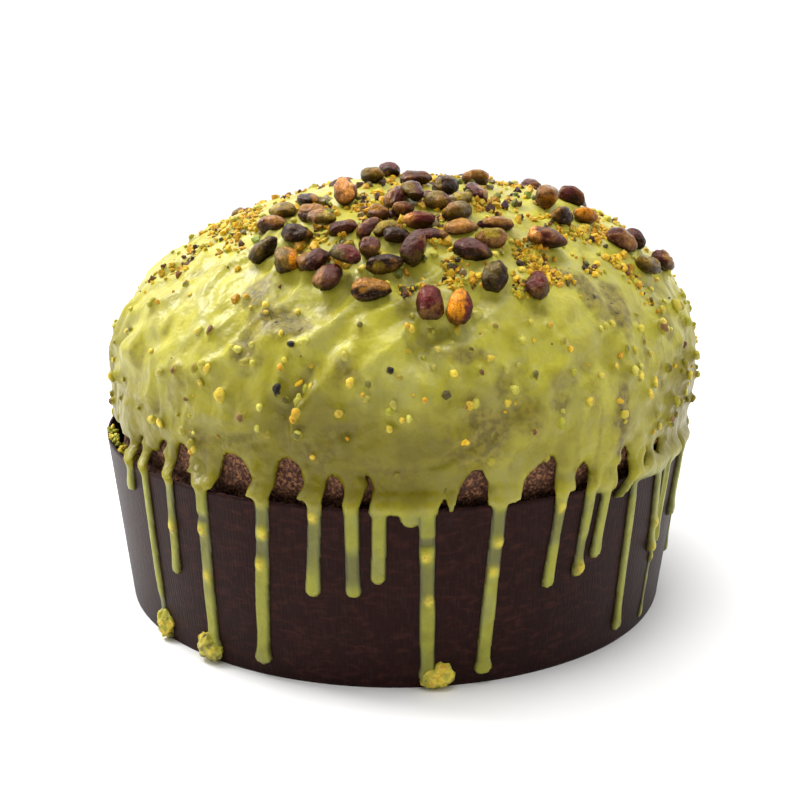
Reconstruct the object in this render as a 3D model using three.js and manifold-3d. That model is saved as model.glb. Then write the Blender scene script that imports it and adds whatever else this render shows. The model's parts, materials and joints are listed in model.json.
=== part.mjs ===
/**
 * Pistachio-glazed panettone in its paper baking mould, as a three.js scene graph.
 *
 * Millimetres, +Z up, front towards -Y. The origin is the centre of the mould's flat base, on the
 * surface that the mould stands on. From the outside in, the object is a tapered paper band glued
 * round a paper base tray, one baked loaf that domes out over the band's rim, one poured coat of
 * glaze whose lower edge breaks into arches and long runs, and whole pistachio kernels on top.
 */
import * as THREE from "three";
import { mergeVertices } from "three/addons/utils/BufferGeometryUtils.js";
import Module from "manifold-3d";

const wasm = await Module();
wasm.setup();

// ---------------------------------------------------------------- driving dimensions

const RIM_RADIUS = 107.5; // outside of the paper band at its rim
const FOOT_RADIUS = 100.9; // outside of the paper band where it stands
const RIM_HEIGHT = 62;
const PAPER = 0.8; // thickness of the band and of the base tray
const TRAY_FLANGE = 5; // height of the tray's turned-up edge, glued inside the band
const GAP = 0.3; // clearance kept between touching solids

const DOME_RADIUS = 106.6; // outside of the glaze where the dome is widest
const WIDEST_HEIGHT = 85;
const DOME_TOP = 150.3;
const DOME_ROUNDNESS = 2.03; // superellipse exponent of the plan radius
const DOME_SHOULDER = 0.3; // how much fuller the +X shoulder is than the -X one
const DOME_CROWN = 2.18; // superellipse exponent of the height
const LEAN_AT_RIM = 1.2; // how far the loaf leans towards +X, at three heights
const LEAN_AT_WIDEST = 2.6;
const LEAN_AT_TOP = 5;
const TUCK = 0.5; // how far the dome draws in again between its widest height and the rim

const GLAZE = 2.3; // thickness of the coat on the dome
const GLAZE_EDGE_HEIGHT = RIM_HEIGHT + 0.6; // where the coat ends between its arches
const LOAF_FOOT_SLACK = 1; // room between the loaf and the band at the foot

const DEG = Math.PI / 180;

// Arches in the coat's lower edge, where the loaf shows:
// [angle, reach to each side in mm at the loaf's surface, height above the edge].
const ARCHES = [
  [-156, 5, 4, 5], [-143.5, 2.5, 2.5, 5], [-136.5, 2.4, 2.4, 6], [-131.5, 3.5, 4.5, 10],
  [-120.5, 2, 11, 10.5], [-108, 5, 5, 12.5], [-101.5, 3, 5.5, 8], [-95, 3, 2.5, 9.5],
  [-82.3, 1.8, 1.8, 4], [-77, 4.5, 5, 10.5], [-64, 9, 2.6, 11.5], [-58.5, 3.6, 3.6, 8],
  [-49.5, 3.6, 3, 9.5], [-27, 3, 3.4, 6], [-12, 6, 4, 9], [-1, 4, 5, 6], [17, 8, 4, 11],
  [29, 4, 4, 7], [48, 7, 7, 9], [60, 3, 5, 6], [81, 10, 5, 12], [93, 4, 3.5, 7],
  [103, 4, 4, 9], [115, 6, 6, 10], [134, 5, 9, 10], [146, 4, 4, 6], [158, 6, 5, 11],
  [178, 5, 6, 9], [189, 3, 3.5, 7],
];

// Runs of glaze down the paper: [angle, height of the lower end, width, foot lump or not].
const RUNS = [
  [-146, 51.5, 4.2, 0], [-139, 5.5, 4.6, 1], [-133.5, 28, 4, 0], [-124, 5.5, 5.2, 1],
  [-113.5, 6.6, 5.6, 0], [-104, 31.4, 4.8, 0], [-97, 32, 5, 0], [-92.6, 37, 5, 0],
  [-89.6, 56.5, 6.4, 0], [-84.6, 4.5, 5.6, 1], [-73.5, 4.5, 5.8, 0], [-62, 30.5, 4.6, 0],
  [-55.6, 32, 4.6, 0], [-52.5, 37, 4.4, 0], [-44, 7, 4.4, 0], [-34.5, 29, 5, 0],
  [-30.6, 31, 3.6, 0], [-22, 36.4, 5, 0], [-8, 12, 4.4, 0], [4, 38, 4.6, 0],
  [11, 26, 4.2, 0], [24, 5, 5.2, 0], [38, 44, 5, 0], [54, 18, 4.6, 0], [66, 33, 4.4, 0],
  [74, 5.5, 5, 1], [88, 40, 4.8, 0], [98, 22, 4.4, 0], [108, 49, 4.4, 0], [122, 9, 5, 0],
  [129, 35, 4.2, 0], [141, 27, 4.6, 0], [151, 46, 5, 0], [164, 4, 5.4, 0], [171, 30, 4.4, 0],
  [185, 20, 4.8, 0], [195, 42, 4.6, 0],
];
const RUN_DEPTH = 1.7; // how far a run stands out from the paper
const RUN_ROOT_HEIGHT = 72; // where a run's root lies inside the coat
const LUMP = { height: 9, depth: 4.6, width: 8.5 }; // crumbs and glaze gathered at a run's foot

// Skins of the kernels: colour and roughness.
const SKINS = {
  purple: ["#4b2a33", 0.45],
  dark: ["#2c1a20", 0.42],
  red: ["#74382a", 0.45],
  tan: ["#9a6a35", 0.5],
  olive: ["#6f6428", 0.5],
  green: ["#6f8428", 0.5],
  gold: ["#c8962a", 0.45],
};

// Whole kernels in the order in which they are laid, so that later ones may rest on earlier ones:
// [x, y, heading in plan, lean of the long axis, length, width, thickness, skin].
const KERNELS = [
  [-29, -36, -55, 0, 9.7, 6.2, 5.6, "dark"],
  [-37, -41, -40, 0, 11, 6.9, 6.2, "olive"],
  [-27, -50, -29, 0, 9.7, 7.6, 6.5, "red"],
  [-40, -50, -29, 0, 11.4, 6.9, 6.2, "tan"],
  [-31, -61, -38, 0, 12, 7, 6.2, "purple"],
  [-41.5, -65, 32, 12, 11.1, 7, 6.3, "green"],
  [-34, -73, 97, 0, 10.6, 8.1, 6.7, "olive"],
  [-25, -76.8, 20, 0, 11.1, 7.4, 6.3, "purple"],
  [-20, -84.5, 50, 0, 10.2, 8.4, 6.5, "tan"],
  [-17, -38, 100, 42, 10.2, 7.7, 6.5, "gold"],
  [-8, -16, -30, 0, 8.6, 7.4, 6.5, "gold"],
  [-2, -5, -50, 0, 9.7, 6.5, 6.2, "dark"],
  [7, -27, 12, 0, 11.4, 7.2, 6.5, "red"],
  [-0.3, -45.8, 72, 18, 10.2, 6.3, 5.8, "purple"],
  [6, -47, -68, 0, 10.7, 6.5, 6, "red"],
  [14, -50.6, -29, 0, 9.7, 6.9, 6.2, "olive"],
  [-5.3, -56.4, -17, 0, 7.7, 5.6, 5.3, "red"],
  [2.6, -55.4, -4, 0, 7.7, 5.6, 5.5, "red"],
  [-16, -64, 5, 0, 9.7, 6.9, 5.8, "purple"],
  [-8, -65.4, 52, 0, 10.7, 6.3, 5.3, "purple"],
  [0.6, -70.4, 6, 0, 8.3, 6, 5.5, "dark"],
  [11.8, -71.2, 1, 0, 10, 6, 5.3, "purple"],
  [-8.2, -75.2, 88, 0, 8.4, 6.7, 6, "purple"],
  [-14.8, -82.4, -36, 0, 10.9, 6.5, 6, "green"],
  [-3, -82.6, 4, 0, 11.6, 6.5, 5.8, "dark"],
  [6, -79.4, 72, 32, 12, 7.6, 6.6, "purple"],
  [17, -36, 45, 0, 11.1, 7.2, 6.7, "dark"],
  [27, -41, -68, 0, 11.1, 6.7, 6.2, "red"],
  [28, -20, 27, 0, 10.4, 6.2, 5.8, "tan"],
  [21.6, -47.6, 55, 0, 9.7, 6.2, 5.8, "green"],
  [20, -57.6, 44, 0, 11.3, 7.7, 6.5, "tan"],
  [20.8, -66.6, 25, 0, 11.1, 6.2, 5.6, "gold"],
  [32.4, -62.2, 18, 0, 11.3, 6, 5.6, "red"],
  [30, -70, 20, 0, 10.4, 7.7, 6.2, "green"],
  [23.6, -77.6, -13, 0, 12.3, 8.1, 7, "dark"],
  [30.1, -85.4, 88, 12, 10.4, 7.7, 7, "green"],
  [51, -34, 85, 8, 10.2, 8.4, 7.9, "tan"],
  [61, -22, -7, 0, 9.7, 7.4, 6.9, "red"],
  [55, -46, 53, 0, 9.2, 6.7, 6.5, "red"],
  [64, -37, 28, 0, 10, 6.3, 5.6, "gold"],
  [48, -64, 0, 0, 12.8, 7.6, 6.5, "purple"],
  [43.3, -83.7, 100, 0, 10, 7.4, 6.5, "purple"],
  [75, -45, -6, 0, 11.6, 7.4, 6.5, "red"],
  [81.8, -33.6, -38, 0, 8.8, 6.5, 6, "dark"],
  [84, -47, 19, 0, 11.8, 6.3, 6, "green"],
  [91.4, -34.6, 26, 0, 10, 8.1, 7, "red"],
  [-7, -91, -8, 0, 12.3, 7.6, 6.5, "red"],
  [10.4, -95.2, 95, 0, 11.6, 8.1, 7, "purple"],
  [19, -95.6, 91, 0, 11.6, 7.9, 7, "gold"],
  [7.8, -63.2, 4, 0, 11.4, 6.2, 5.6, "purple"],
  [-23.4, -60.6, -25, 0, 10.2, 6.2, 5.6, "olive"],
  [-32, 68, 60, 0, 11.1, 7.2, 6.3, "purple"],
  [16, 74, -20, 0, 10.6, 7, 6.2, "olive"],
  [44, 66, 130, 0, 11.4, 6.9, 6.2, "red"],
  [-8, 84, 10, 0, 10.7, 7.4, 6.3, "dark"],
  [66, 52, 75, 0, 10.4, 7, 6.5, "tan"],
];
const KERNEL_TAPER = 0.14; // how much narrower one end of a kernel is than its middle

// ---------------------------------------------------------------- shapes shared by the pieces

/** Outside radius of the paper band at a height. */
const bandRadius = (z) => FOOT_RADIUS + ((RIM_RADIUS - FOOT_RADIUS) * z) / RIM_HEIGHT;

/** Point of the dome: polar is 0 at the top and 90 degrees at the widest height; inset goes inwards. */
function domePoint(theta, polar, inset) {
  const roundness = DOME_ROUNDNESS + DOME_SHOULDER * Math.cos(theta);
  const rise = Math.cos(polar) ** (2 / DOME_CROWN);
  const radius = (DOME_RADIUS - inset) * Math.sin(polar) ** (2 / roundness);
  const lean = LEAN_AT_WIDEST + (LEAN_AT_TOP - LEAN_AT_WIDEST) * rise;
  const z = WIDEST_HEIGHT + (DOME_TOP - inset - WIDEST_HEIGHT) * rise;
  return [radius * Math.cos(theta) + lean, radius * Math.sin(theta), z];
}

/** Point below the widest height, where the surface draws in towards the rim. */
function skirtPoint(theta, z, inset) {
  const down = (WIDEST_HEIGHT - z) / (WIDEST_HEIGHT - RIM_HEIGHT);
  const radius = DOME_RADIUS - inset - TUCK * down * down;
  const lean = LEAN_AT_WIDEST + (LEAN_AT_RIM - LEAN_AT_WIDEST) * down;
  return [radius * Math.cos(theta) + lean, radius * Math.sin(theta), z];
}

/** Height of the glaze's outside over a point in plan, by halving the polar angle's range. */
function domeHeight(x, y) {
  let low = 0;
  let high = Math.PI / 2;
  for (let i = 0; i < 24; i++) {
    const polar = (low + high) / 2;
    const rise = Math.cos(polar) ** (2 / DOME_CROWN);
    const lean = LEAN_AT_WIDEST + (LEAN_AT_TOP - LEAN_AT_WIDEST) * rise;
    const theta = Math.atan2(y, x - lean);
    const [px, py] = domePoint(theta, polar, 0);
    if (Math.hypot(px - lean, py) < Math.hypot(x - lean, y)) low = polar;
    else high = polar;
  }
  return domePoint(0, low, 0)[2];
}

/** Height of the coat's lower edge: the rim line, lifted by each arch's rounded bump. */
function edgeHeight(theta) {
  let lift = 0;
  for (const [angle, before, after, height] of ARCHES) {
    const away = THREE.MathUtils.euclideanModulo(theta / DEG - angle + 180, 360) - 180;
    const reach = (away * DEG * DOME_RADIUS) / (away < 0 ? before : after);
    if (Math.abs(reach) < 1) lift = Math.max(lift, height * (1 - Math.abs(reach) ** 2.2) ** 0.6);
  }
  return GLAZE_EDGE_HEIGHT + lift;
}

/** A ring of points at angles that rise from its first one; where is each point's share of the turn. */
function ringAt(thetas, pointAt) {
  const points = thetas.map(pointAt);
  return { points, where: thetas.map((theta) => (theta - thetas[0]) / (360 * DEG)) };
}

/** Evenly spaced angles round the Z axis. */
function evenAngles(count, start = 0) {
  return Array.from({ length: count }, (_, i) => start + (i * 360 * DEG) / count);
}

/** Closed geometry from rings; each end is closed by a fan to the first or the last point. */
function geometryFromRings(first, rings, last) {
  const points = [first, ...rings.flatMap((ring) => ring.points), last];
  const starts = rings.map((_, n) => 1 + rings.slice(0, n).reduce((sum, r) => sum + r.points.length, 0));
  const at = (n, i) => starts[n] + (i % rings[n].points.length);
  const index = [];
  const bottom = rings.length - 1;
  rings[0].points.forEach((_, i) => index.push(0, at(0, i), at(0, i + 1)));
  rings[bottom].points.forEach((_, i) => index.push(points.length - 1, at(bottom, i + 1), at(bottom, i)));
  for (let n = 0; n < bottom; n++) {
    const [upper, lower] = [[...rings[n].where, 1], [...rings[n + 1].where, 1]];
    let [i, j] = [0, 0];
    while (i + 1 < upper.length || j + 1 < lower.length) {
      if (i + 1 === upper.length || (j + 1 < lower.length && lower[j + 1] <= upper[i + 1])) {
        index.push(at(n, i), at(n + 1, j), at(n + 1, j + 1));
        j++;
      } else {
        index.push(at(n, i), at(n + 1, j), at(n, i + 1));
        i++;
      }
    }
  }
  const geometry = new THREE.BufferGeometry();
  geometry.setAttribute("position", new THREE.Float32BufferAttribute(points.flat(), 3));
  geometry.setIndex(index);
  return geometry;
}

/** The geometry as a manifold-3d solid. */
function solidFrom(geometry) {
  const bare = geometry.clone();
  bare.deleteAttribute("normal");
  bare.deleteAttribute("uv");
  const merged = mergeVertices(bare, 1e-3);
  return new wasm.Manifold(
    new wasm.Mesh({
      numProp: 3,
      vertProperties: merged.attributes.position.array,
      triVerts: new Uint32Array(merged.index.array),
    }),
  );
}

/** A manifold-3d solid as a three.js geometry. */
function geometryFrom(solid) {
  const { vertProperties, triVerts } = solid.getMesh();
  const geometry = new THREE.BufferGeometry();
  geometry.setAttribute("position", new THREE.BufferAttribute(vertProperties, 3));
  geometry.setIndex(new THREE.BufferAttribute(triVerts, 1));
  return geometry;
}

/** A named mesh with its own material and smooth normals. */
function meshOf(name, geometry, colour, roughness) {
  geometry.computeVertexNormals();
  const material = new THREE.MeshStandardMaterial({ color: colour, roughness, metalness: 0 });
  const mesh = new THREE.Mesh(geometry, material);
  mesh.name = name;
  return mesh;
}

/** A profile of [radius, height] pairs turned round the Z axis. */
function turned(profile, segments) {
  const points = profile.map(([radius, height]) => new THREE.Vector2(radius, height));
  return new THREE.LatheGeometry(points, segments).rotateX(90 * DEG);
}

// ---------------------------------------------------------------- the paper mould

const BAND_SEGMENTS = 72;

/** Tapered paper wall, open at both ends. */
function mouldBand() {
  const profile = [
    [FOOT_RADIUS - PAPER, 0],
    [FOOT_RADIUS, 0],
    [RIM_RADIUS, RIM_HEIGHT],
    [RIM_RADIUS - PAPER, RIM_HEIGHT],
    [FOOT_RADIUS - PAPER, 0],
  ];
  return meshOf("mould_band", turned(profile, BAND_SEGMENTS), "#2a1d1a", 0.45);
}

/** Flat paper base with a turned-up edge that is glued inside the band. */
function mouldBase() {
  const slant = (RIM_RADIUS - FOOT_RADIUS) / RIM_HEIGHT;
  const outside = FOOT_RADIUS - PAPER - GAP;
  const top = TRAY_FLANGE;
  const profile = [
    [0, 0],
    [outside, 0],
    [outside + slant * top, top],
    [outside + slant * top - PAPER, top],
    [outside - PAPER, PAPER],
    [0, PAPER],
  ];
  return meshOf("mould_base", turned(profile, BAND_SEGMENTS), "#33231e", 0.6);
}

// ---------------------------------------------------------------- the loaf

const LOAF_SEGMENTS = 48;
const LOAF_BOTTOM = PAPER + GAP;

/** Radius of the loaf where the mould holds it, from the tray's inside to the rim. */
function heldRadius(z, grow) {
  const foot = FOOT_RADIUS - 2 * PAPER - 2 * GAP - LOAF_FOOT_SLACK;
  const rim = DOME_RADIUS - TUCK - GLAZE - GAP;
  return foot + ((rim - foot) * z) / RIM_HEIGHT + grow;
}

/** The loaf's surface, or the same surface grown outwards by a clearance. */
function loafGeometry(grow) {
  const inset = GLAZE + GAP - grow;
  const thetas = evenAngles(LOAF_SEGMENTS);
  const rings = [];
  for (const polar of [12, 24, 36, 48, 60, 70, 80, 90]) {
    rings.push(ringAt(thetas, (theta) => domePoint(theta, polar * DEG, inset)));
  }
  for (const z of [74, RIM_HEIGHT]) rings.push(ringAt(thetas, (theta) => skirtPoint(theta, z, inset)));
  for (const z of [LOAF_BOTTOM + 4, LOAF_BOTTOM - grow]) {
    const round = z < LOAF_BOTTOM + 1 ? 3 : 0; // the bottom edge is rounded off
    const lean = (LEAN_AT_RIM * z) / RIM_HEIGHT;
    const radius = heldRadius(z, grow) - round;
    rings.push(ringAt(thetas, (theta) => [radius * Math.cos(theta) + lean, radius * Math.sin(theta), z]));
  }
  return geometryFromRings(domePoint(0, 0, inset), rings, [0, 0, LOAF_BOTTOM - grow]);
}

// ---------------------------------------------------------------- the glaze

/** Angles of the coat's columns: each arch's foot, flanks and crest, and fillers where it is plain. */
function coatAngles() {
  const wanted = [];
  for (const [angle, before, after] of ARCHES) {
    const perDegree = DOME_RADIUS * DEG;
    const steps = [-before, -0.86 * before, 0, 0.86 * after, after];
    for (const step of steps) wanted.push(angle + step / perDegree);
  }
  wanted.sort((a, b) => a - b);
  const filled = [];
  wanted.forEach((angle, i) => {
    const next = i + 1 < wanted.length ? wanted[i + 1] : wanted[0] + 360;
    const parts = Math.max(1, Math.ceil((next - angle) / 5));
    for (let k = 0; k < parts; k++) filled.push((angle + ((next - angle) * k) / parts) * DEG);
  });
  return filled.filter((angle, i) => i === 0 || angle - filled[i - 1] > 0.4 * DEG);
}

/** The coat's outer skin down to its arched edge, closed by a cone that lies inside the loaf. */
function coatSolid() {
  const columns = coatAngles();
  const coarse = evenAngles(LOAF_SEGMENTS, columns[0]);
  const domeRing = (thetas, polar) => ringAt(thetas, (theta) => domePoint(theta, polar * DEG, 0));
  const skirtRing = (share, inset) =>
    ringAt(columns, (theta) => {
      const z = WIDEST_HEIGHT + (edgeHeight(theta) - WIDEST_HEIGHT) * share;
      return skirtPoint(theta, z, inset);
    });
  const rings = [
    ...[12, 24, 36, 48, 60, 70, 80, 90].map((polar) => domeRing(coarse, polar)),
    skirtRing(0.5, 0),
    skirtRing(0.85, 0),
    skirtRing(1, GLAZE * 0.35),
    skirtRing(1, GLAZE + 1),
  ];
  return solidFrom(geometryFromRings(domePoint(0, 0, 0), rings, [0, 0, WIDEST_HEIGHT]));
}

/** One run of glaze, rooted in the coat, over the rim and down the paper, flat against it. */
function runSolid([angle, end, width, lump]) {
  const theta = angle * DEG;
  const rootRadius = DOME_RADIUS - GLAZE / 2;
  const half = width / 2;
  const stations = [
    [RUN_ROOT_HEIGHT, rootRadius - 2, rootRadius, half * 0.8],
    [RIM_HEIGHT + 4, rootRadius - 2, DOME_RADIUS + RUN_DEPTH, half],
    [RIM_HEIGHT - 1, bandRadius(RIM_HEIGHT) - 2, bandRadius(RIM_HEIGHT) + GAP + RUN_DEPTH, half],
  ];
  const straight = lump ? LUMP.height : end + half;
  for (const z of [(RIM_HEIGHT + straight) / 2, straight]) {
    if (z < RIM_HEIGHT - 2) stations.push([z, bandRadius(z) - 2, bandRadius(z) + GAP + RUN_DEPTH, half]);
  }
  if (lump) {
    const z = LUMP.height / 2;
    stations.push([z, bandRadius(z) - 2, bandRadius(z) + LUMP.depth, LUMP.width / 2]);
    stations.push([1, bandRadius(1) - 2, bandRadius(1) + LUMP.depth * 0.8, LUMP.width / 2]);
  } else {
    stations.push([end, bandRadius(end) - 2, bandRadius(end) + GAP + RUN_DEPTH / 2, half * 0.5]);
  }
  const rings = stations.map(([z, inner, outer, side]) => {
    const shoulder = inner + (outer - inner) * 0.72;
    const outline = [[inner, -side], [shoulder, -side], [outer, -side * 0.35], [outer, side * 0.35],
      [shoulder, side], [inner, side]];
    const points = outline.map(([radius, across]) => {
      const x = radius * Math.cos(theta) - across * Math.sin(theta);
      return [x, radius * Math.sin(theta) + across * Math.cos(theta), z];
    });
    return { points, where: points.map((_, i) => i / points.length) };
  });
  const middle = ({ points }) =>
    [0, 1, 2].map((axis) => points.reduce((sum, point) => sum + point[axis], 0) / points.length);
  return solidFrom(geometryFromRings(middle(rings[0]), rings, middle(rings[rings.length - 1])));
}

/** Coat and runs as one poured piece, clear of the paper and of the loaf by the gap. */
function glaze() {
  let poured = coatSolid();
  for (const run of RUNS) poured = poured.add(runSolid(run));
  const clearBand = [
    [FOOT_RADIUS - PAPER - 8, -1],
    [bandRadius(-1) + GAP, -1],
    [RIM_RADIUS + GAP, RIM_HEIGHT],
    [RIM_RADIUS + GAP, RIM_HEIGHT + GAP],
    [RIM_RADIUS - PAPER - 8, RIM_HEIGHT + GAP],
    [FOOT_RADIUS - PAPER - 8, -1],
  ];
  poured = poured.subtract(solidFrom(turned(clearBand, BAND_SEGMENTS)));
  poured = poured.subtract(solidFrom(loafGeometry(GAP)));
  return meshOf("glaze", geometryFrom(poured), "#9aa63a", 0.35);
}

// ---------------------------------------------------------------- the kernels

/** A convex kernel: long axis X, broad axis Y, with one end narrower than the other. */
function kernelGeometry(length, width, thickness) {
  const geometry = new THREE.SphereGeometry(1, 8, 5).rotateZ(90 * DEG);
  const position = geometry.attributes.position;
  for (let i = 0; i < position.count; i++) {
    const x = position.getX(i);
    const taper = 1 - KERNEL_TAPER * x;
    position.setXYZ(
      i,
      (x * length) / 2,
      (position.getY(i) * taper * width) / 2,
      (position.getZ(i) * taper * thickness) / 2,
    );
  }
  return geometry;
}

/** Direction square to the dome at a point in plan. */
function domeNormal(x, y) {
  const step = 1;
  const slopeX = (domeHeight(x + step, y) - domeHeight(x - step, y)) / (2 * step);
  const slopeY = (domeHeight(x, y + step) - domeHeight(x, y - step)) / (2 * step);
  return new THREE.Vector3(-slopeX, -slopeY, 1).normalize();
}

/** Rotation that lays a kernel on the dome with its long axis at a heading, raised by a lean. */
function kernelTurn(x, y, heading, lean) {
  const up = domeNormal(x, y);
  const ahead = new THREE.Vector3(Math.cos(heading * DEG), Math.sin(heading * DEG), 0);
  const along = ahead.addScaledVector(up, -ahead.dot(up)).normalize();
  const across = new THREE.Vector3().crossVectors(up, along);
  const flat = new THREE.Matrix4().makeBasis(along, across, up);
  const tilt = new THREE.Matrix4().makeRotationY(-lean * DEG);
  return new THREE.Quaternion().setFromRotationMatrix(flat.multiply(tilt));
}

/** A grid of the highest surface laid so far, on which each kernel comes to rest. */
class RestingGrid {
  constructor(half, step) {
    this.half = half;
    this.step = step;
    this.count = Math.round((2 * half) / step) + 1;
    this.heights = new Float64Array(this.count ** 2);
    for (let j = 0; j < this.count; j++) {
      for (let i = 0; i < this.count; i++) {
        const [x, y] = [i * step - half, j * step - half];
        const outside = Math.hypot(x - LEAN_AT_WIDEST, y) > DOME_RADIUS - 2;
        this.heights[j * this.count + i] = outside ? 0 : domeHeight(x, y);
      }
    }
  }

  /** Calls visit(cell, lowest, highest) for each grid cell under a geometry placed at x, y. */
  eachCell(geometry, x, y, visit) {
    const { position } = geometry.attributes;
    const spans = new Map();
    const corner = (i) => new THREE.Vector3().fromBufferAttribute(position, geometry.index.getX(i));
    for (let t = 0; t < geometry.index.count; t += 3) {
      const [a, b, c] = [corner(t), corner(t + 1), corner(t + 2)];
      const area = (b.x - a.x) * (c.y - a.y) - (c.x - a.x) * (b.y - a.y);
      if (Math.abs(area) < 1e-9) continue;
      const cellOf = (value) => (value + this.half) / this.step;
      const lowI = Math.ceil(cellOf(x + Math.min(a.x, b.x, c.x)));
      const highI = Math.floor(cellOf(x + Math.max(a.x, b.x, c.x)));
      const lowJ = Math.ceil(cellOf(y + Math.min(a.y, b.y, c.y)));
      const highJ = Math.floor(cellOf(y + Math.max(a.y, b.y, c.y)));
      for (let j = lowJ; j <= highJ; j++) {
        for (let i = lowI; i <= highI; i++) {
          const [px, py] = [i * this.step - this.half - x, j * this.step - this.half - y];
          const u = ((px - a.x) * (c.y - a.y) - (c.x - a.x) * (py - a.y)) / area;
          const v = ((b.x - a.x) * (py - a.y) - (px - a.x) * (b.y - a.y)) / area;
          if (u < 0 || v < 0 || u + v > 1) continue;
          const z = a.z + u * (b.z - a.z) + v * (c.z - a.z);
          const cell = j * this.count + i;
          const span = spans.get(cell) ?? [z, z];
          spans.set(cell, [Math.min(span[0], z), Math.max(span[1], z)]);
        }
      }
    }
    for (const [cell, [lowest, highest]] of spans) visit(cell, lowest, highest);
  }

  /** Height at which the geometry rests over x, y with the given clearance, then lays it there. */
  rest(geometry, x, y, clearance) {
    let height = -Infinity;
    this.eachCell(geometry, x, y, (cell, lowest) => {
      height = Math.max(height, this.heights[cell] - lowest + clearance);
    });
    this.eachCell(geometry, x, y, (cell, lowest, highest) => {
      this.heights[cell] = Math.max(this.heights[cell], height + highest);
    });
    return height;
  }
}

const GRID_STEP = 0.5;
const RESTING_CLEARANCE = GAP + 0.2; // the gap, and what the grid's step may miss on a slope

/** Every kernel, lowered onto the glaze and onto the kernels that were laid before it. */
function kernels() {
  const grid = new RestingGrid(112, GRID_STEP);
  return KERNELS.map(([x, y, heading, lean, length, width, thickness, skin], i) => {
    const geometry = kernelGeometry(length, width, thickness);
    const turn = kernelTurn(x, y, heading, lean);
    const turnedGeometry = geometry.clone().applyQuaternion(turn);
    const [colour, roughness] = SKINS[skin];
    const mesh = meshOf(`pistachio_${String(i + 1).padStart(2, "0")}`, geometry, colour, roughness);
    mesh.quaternion.copy(turn);
    mesh.position.set(x, y, grid.rest(turnedGeometry, x, y, RESTING_CLEARANCE));
    return mesh;
  });
}

// ---------------------------------------------------------------- assembly

const panettone = new THREE.Group();

const mould = new THREE.Group();
mould.add(mouldBand(), mouldBase());

const topping = new THREE.Group();
topping.add(...kernels());

panettone.add(mould, meshOf("loaf", loafGeometry(0), "#4a2a1a", 0.8), glaze(), topping);

export default panettone;
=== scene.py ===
"""Pistachio-glazed panettone in its paper mould: the finished look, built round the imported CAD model.

Shapes are worked out in millimetres as whole numpy arrays and put into meshes in metres, in the CAD's
frame: the origin is the centre of the mould's underside, +Z is up and most of the kernels lie towards -Y.
"""

import json
import math

import bpy
import numpy as np
from bpy.props import FloatProperty, FloatVectorProperty, PointerProperty
from bpy.types import Operator, Panel, PropertyGroup
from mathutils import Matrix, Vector
from mathutils.geometry import delaunay_2d_cdt


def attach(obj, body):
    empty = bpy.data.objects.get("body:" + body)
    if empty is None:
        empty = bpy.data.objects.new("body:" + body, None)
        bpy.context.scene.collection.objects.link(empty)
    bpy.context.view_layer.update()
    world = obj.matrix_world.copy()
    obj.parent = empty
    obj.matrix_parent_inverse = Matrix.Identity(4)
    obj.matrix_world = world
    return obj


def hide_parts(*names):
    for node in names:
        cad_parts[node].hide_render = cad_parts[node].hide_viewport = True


bl_info = {
    "name": "Glazed panettone",
    "version": (1, 0, 0),
    "blender": (4, 5, 0),
    "location": "3D View > Sidebar > Panettone",
    "description": "Builds a pistachio-glazed panettone round its packed CAD model",
    "category": "Add Mesh",
}

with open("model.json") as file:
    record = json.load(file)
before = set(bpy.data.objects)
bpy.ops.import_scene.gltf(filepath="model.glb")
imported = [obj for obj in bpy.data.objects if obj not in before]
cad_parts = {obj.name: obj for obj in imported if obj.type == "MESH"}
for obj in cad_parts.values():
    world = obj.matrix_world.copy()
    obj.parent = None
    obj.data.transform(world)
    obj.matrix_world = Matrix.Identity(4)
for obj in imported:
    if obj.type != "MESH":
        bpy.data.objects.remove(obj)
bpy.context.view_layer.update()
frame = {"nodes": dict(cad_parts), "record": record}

MM = 0.001
TURN = 2 * math.pi
BODY = "root"


def node_points(node):
    """The corner points of a CAD node, in millimetres, one row each."""
    mesh = frame["nodes"][node].data
    points = np.empty(len(mesh.vertices) * 3, np.float32)
    mesh.vertices.foreach_get("co", points)
    return points.reshape(-1, 3).astype(float) / MM


# ------------------------------------------------------------ the shape that the CAD gives, in millimetres

BAND_POINTS = node_points("mould_band")
RIM_HEIGHT = BAND_POINTS[:, 2].max()
RIM_RADIUS = np.hypot(*BAND_POINTS[:, :2].T).max()
FOOT_RADIUS = np.hypot(*BAND_POINTS[BAND_POINTS[:, 2] < 0.01, :2].T).max()
PAPER = FOOT_RADIUS - np.hypot(*BAND_POINTS[:, :2].T).min()

DOME_RADIUS = 106.6  # outside of the glaze where the dome is widest
WIDEST_HEIGHT = 85
DOME_TOP = 150.3
DOME_ROUNDNESS = 2.03  # superellipse exponent of the plan radius
DOME_SHOULDER = 0.3  # how much fuller the +X shoulder is than the -X one
DOME_CROWN = 2.18  # superellipse exponent of the height
LEAN_AT_RIM = 1.2  # how far the loaf leans towards +X, at three heights
LEAN_AT_WIDEST = 2.6
LEAN_AT_TOP = 5
TUCK = 0.5  # how far the dome draws in again towards the rim
GLAZE = 2.3  # thickness of the coat
UNDER_GLAZE = 0.4  # room between the coat and the loaf
LOAF_BOTTOM = 1.1
LOAF_FOOT_SLACK = 2.6  # room between the loaf and the outside of the band at the foot

# Height of the coat's lower edge where no arch cuts it: [angle in degrees, height].
EDGE_LINE = [
    [-172, 66.5], [-160, 67.5], [-151, 67], [-141, 67.5], [-134, 67], [-127, 65], [-122, 62],
    [-112, 62.4], [-104, 63], [-97, 60.4], [-89, 60.2], [-81, 59.6], [-73, 62], [-61, 63.2], [-54, 59.4],
    [-47, 59.2], [-40, 58.6], [-33, 58.8], [-22, 60.5], [0, 61.8], [40, 62.6], [90, 61.6], [140, 62.8],
    [180, 63.2],
]
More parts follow.
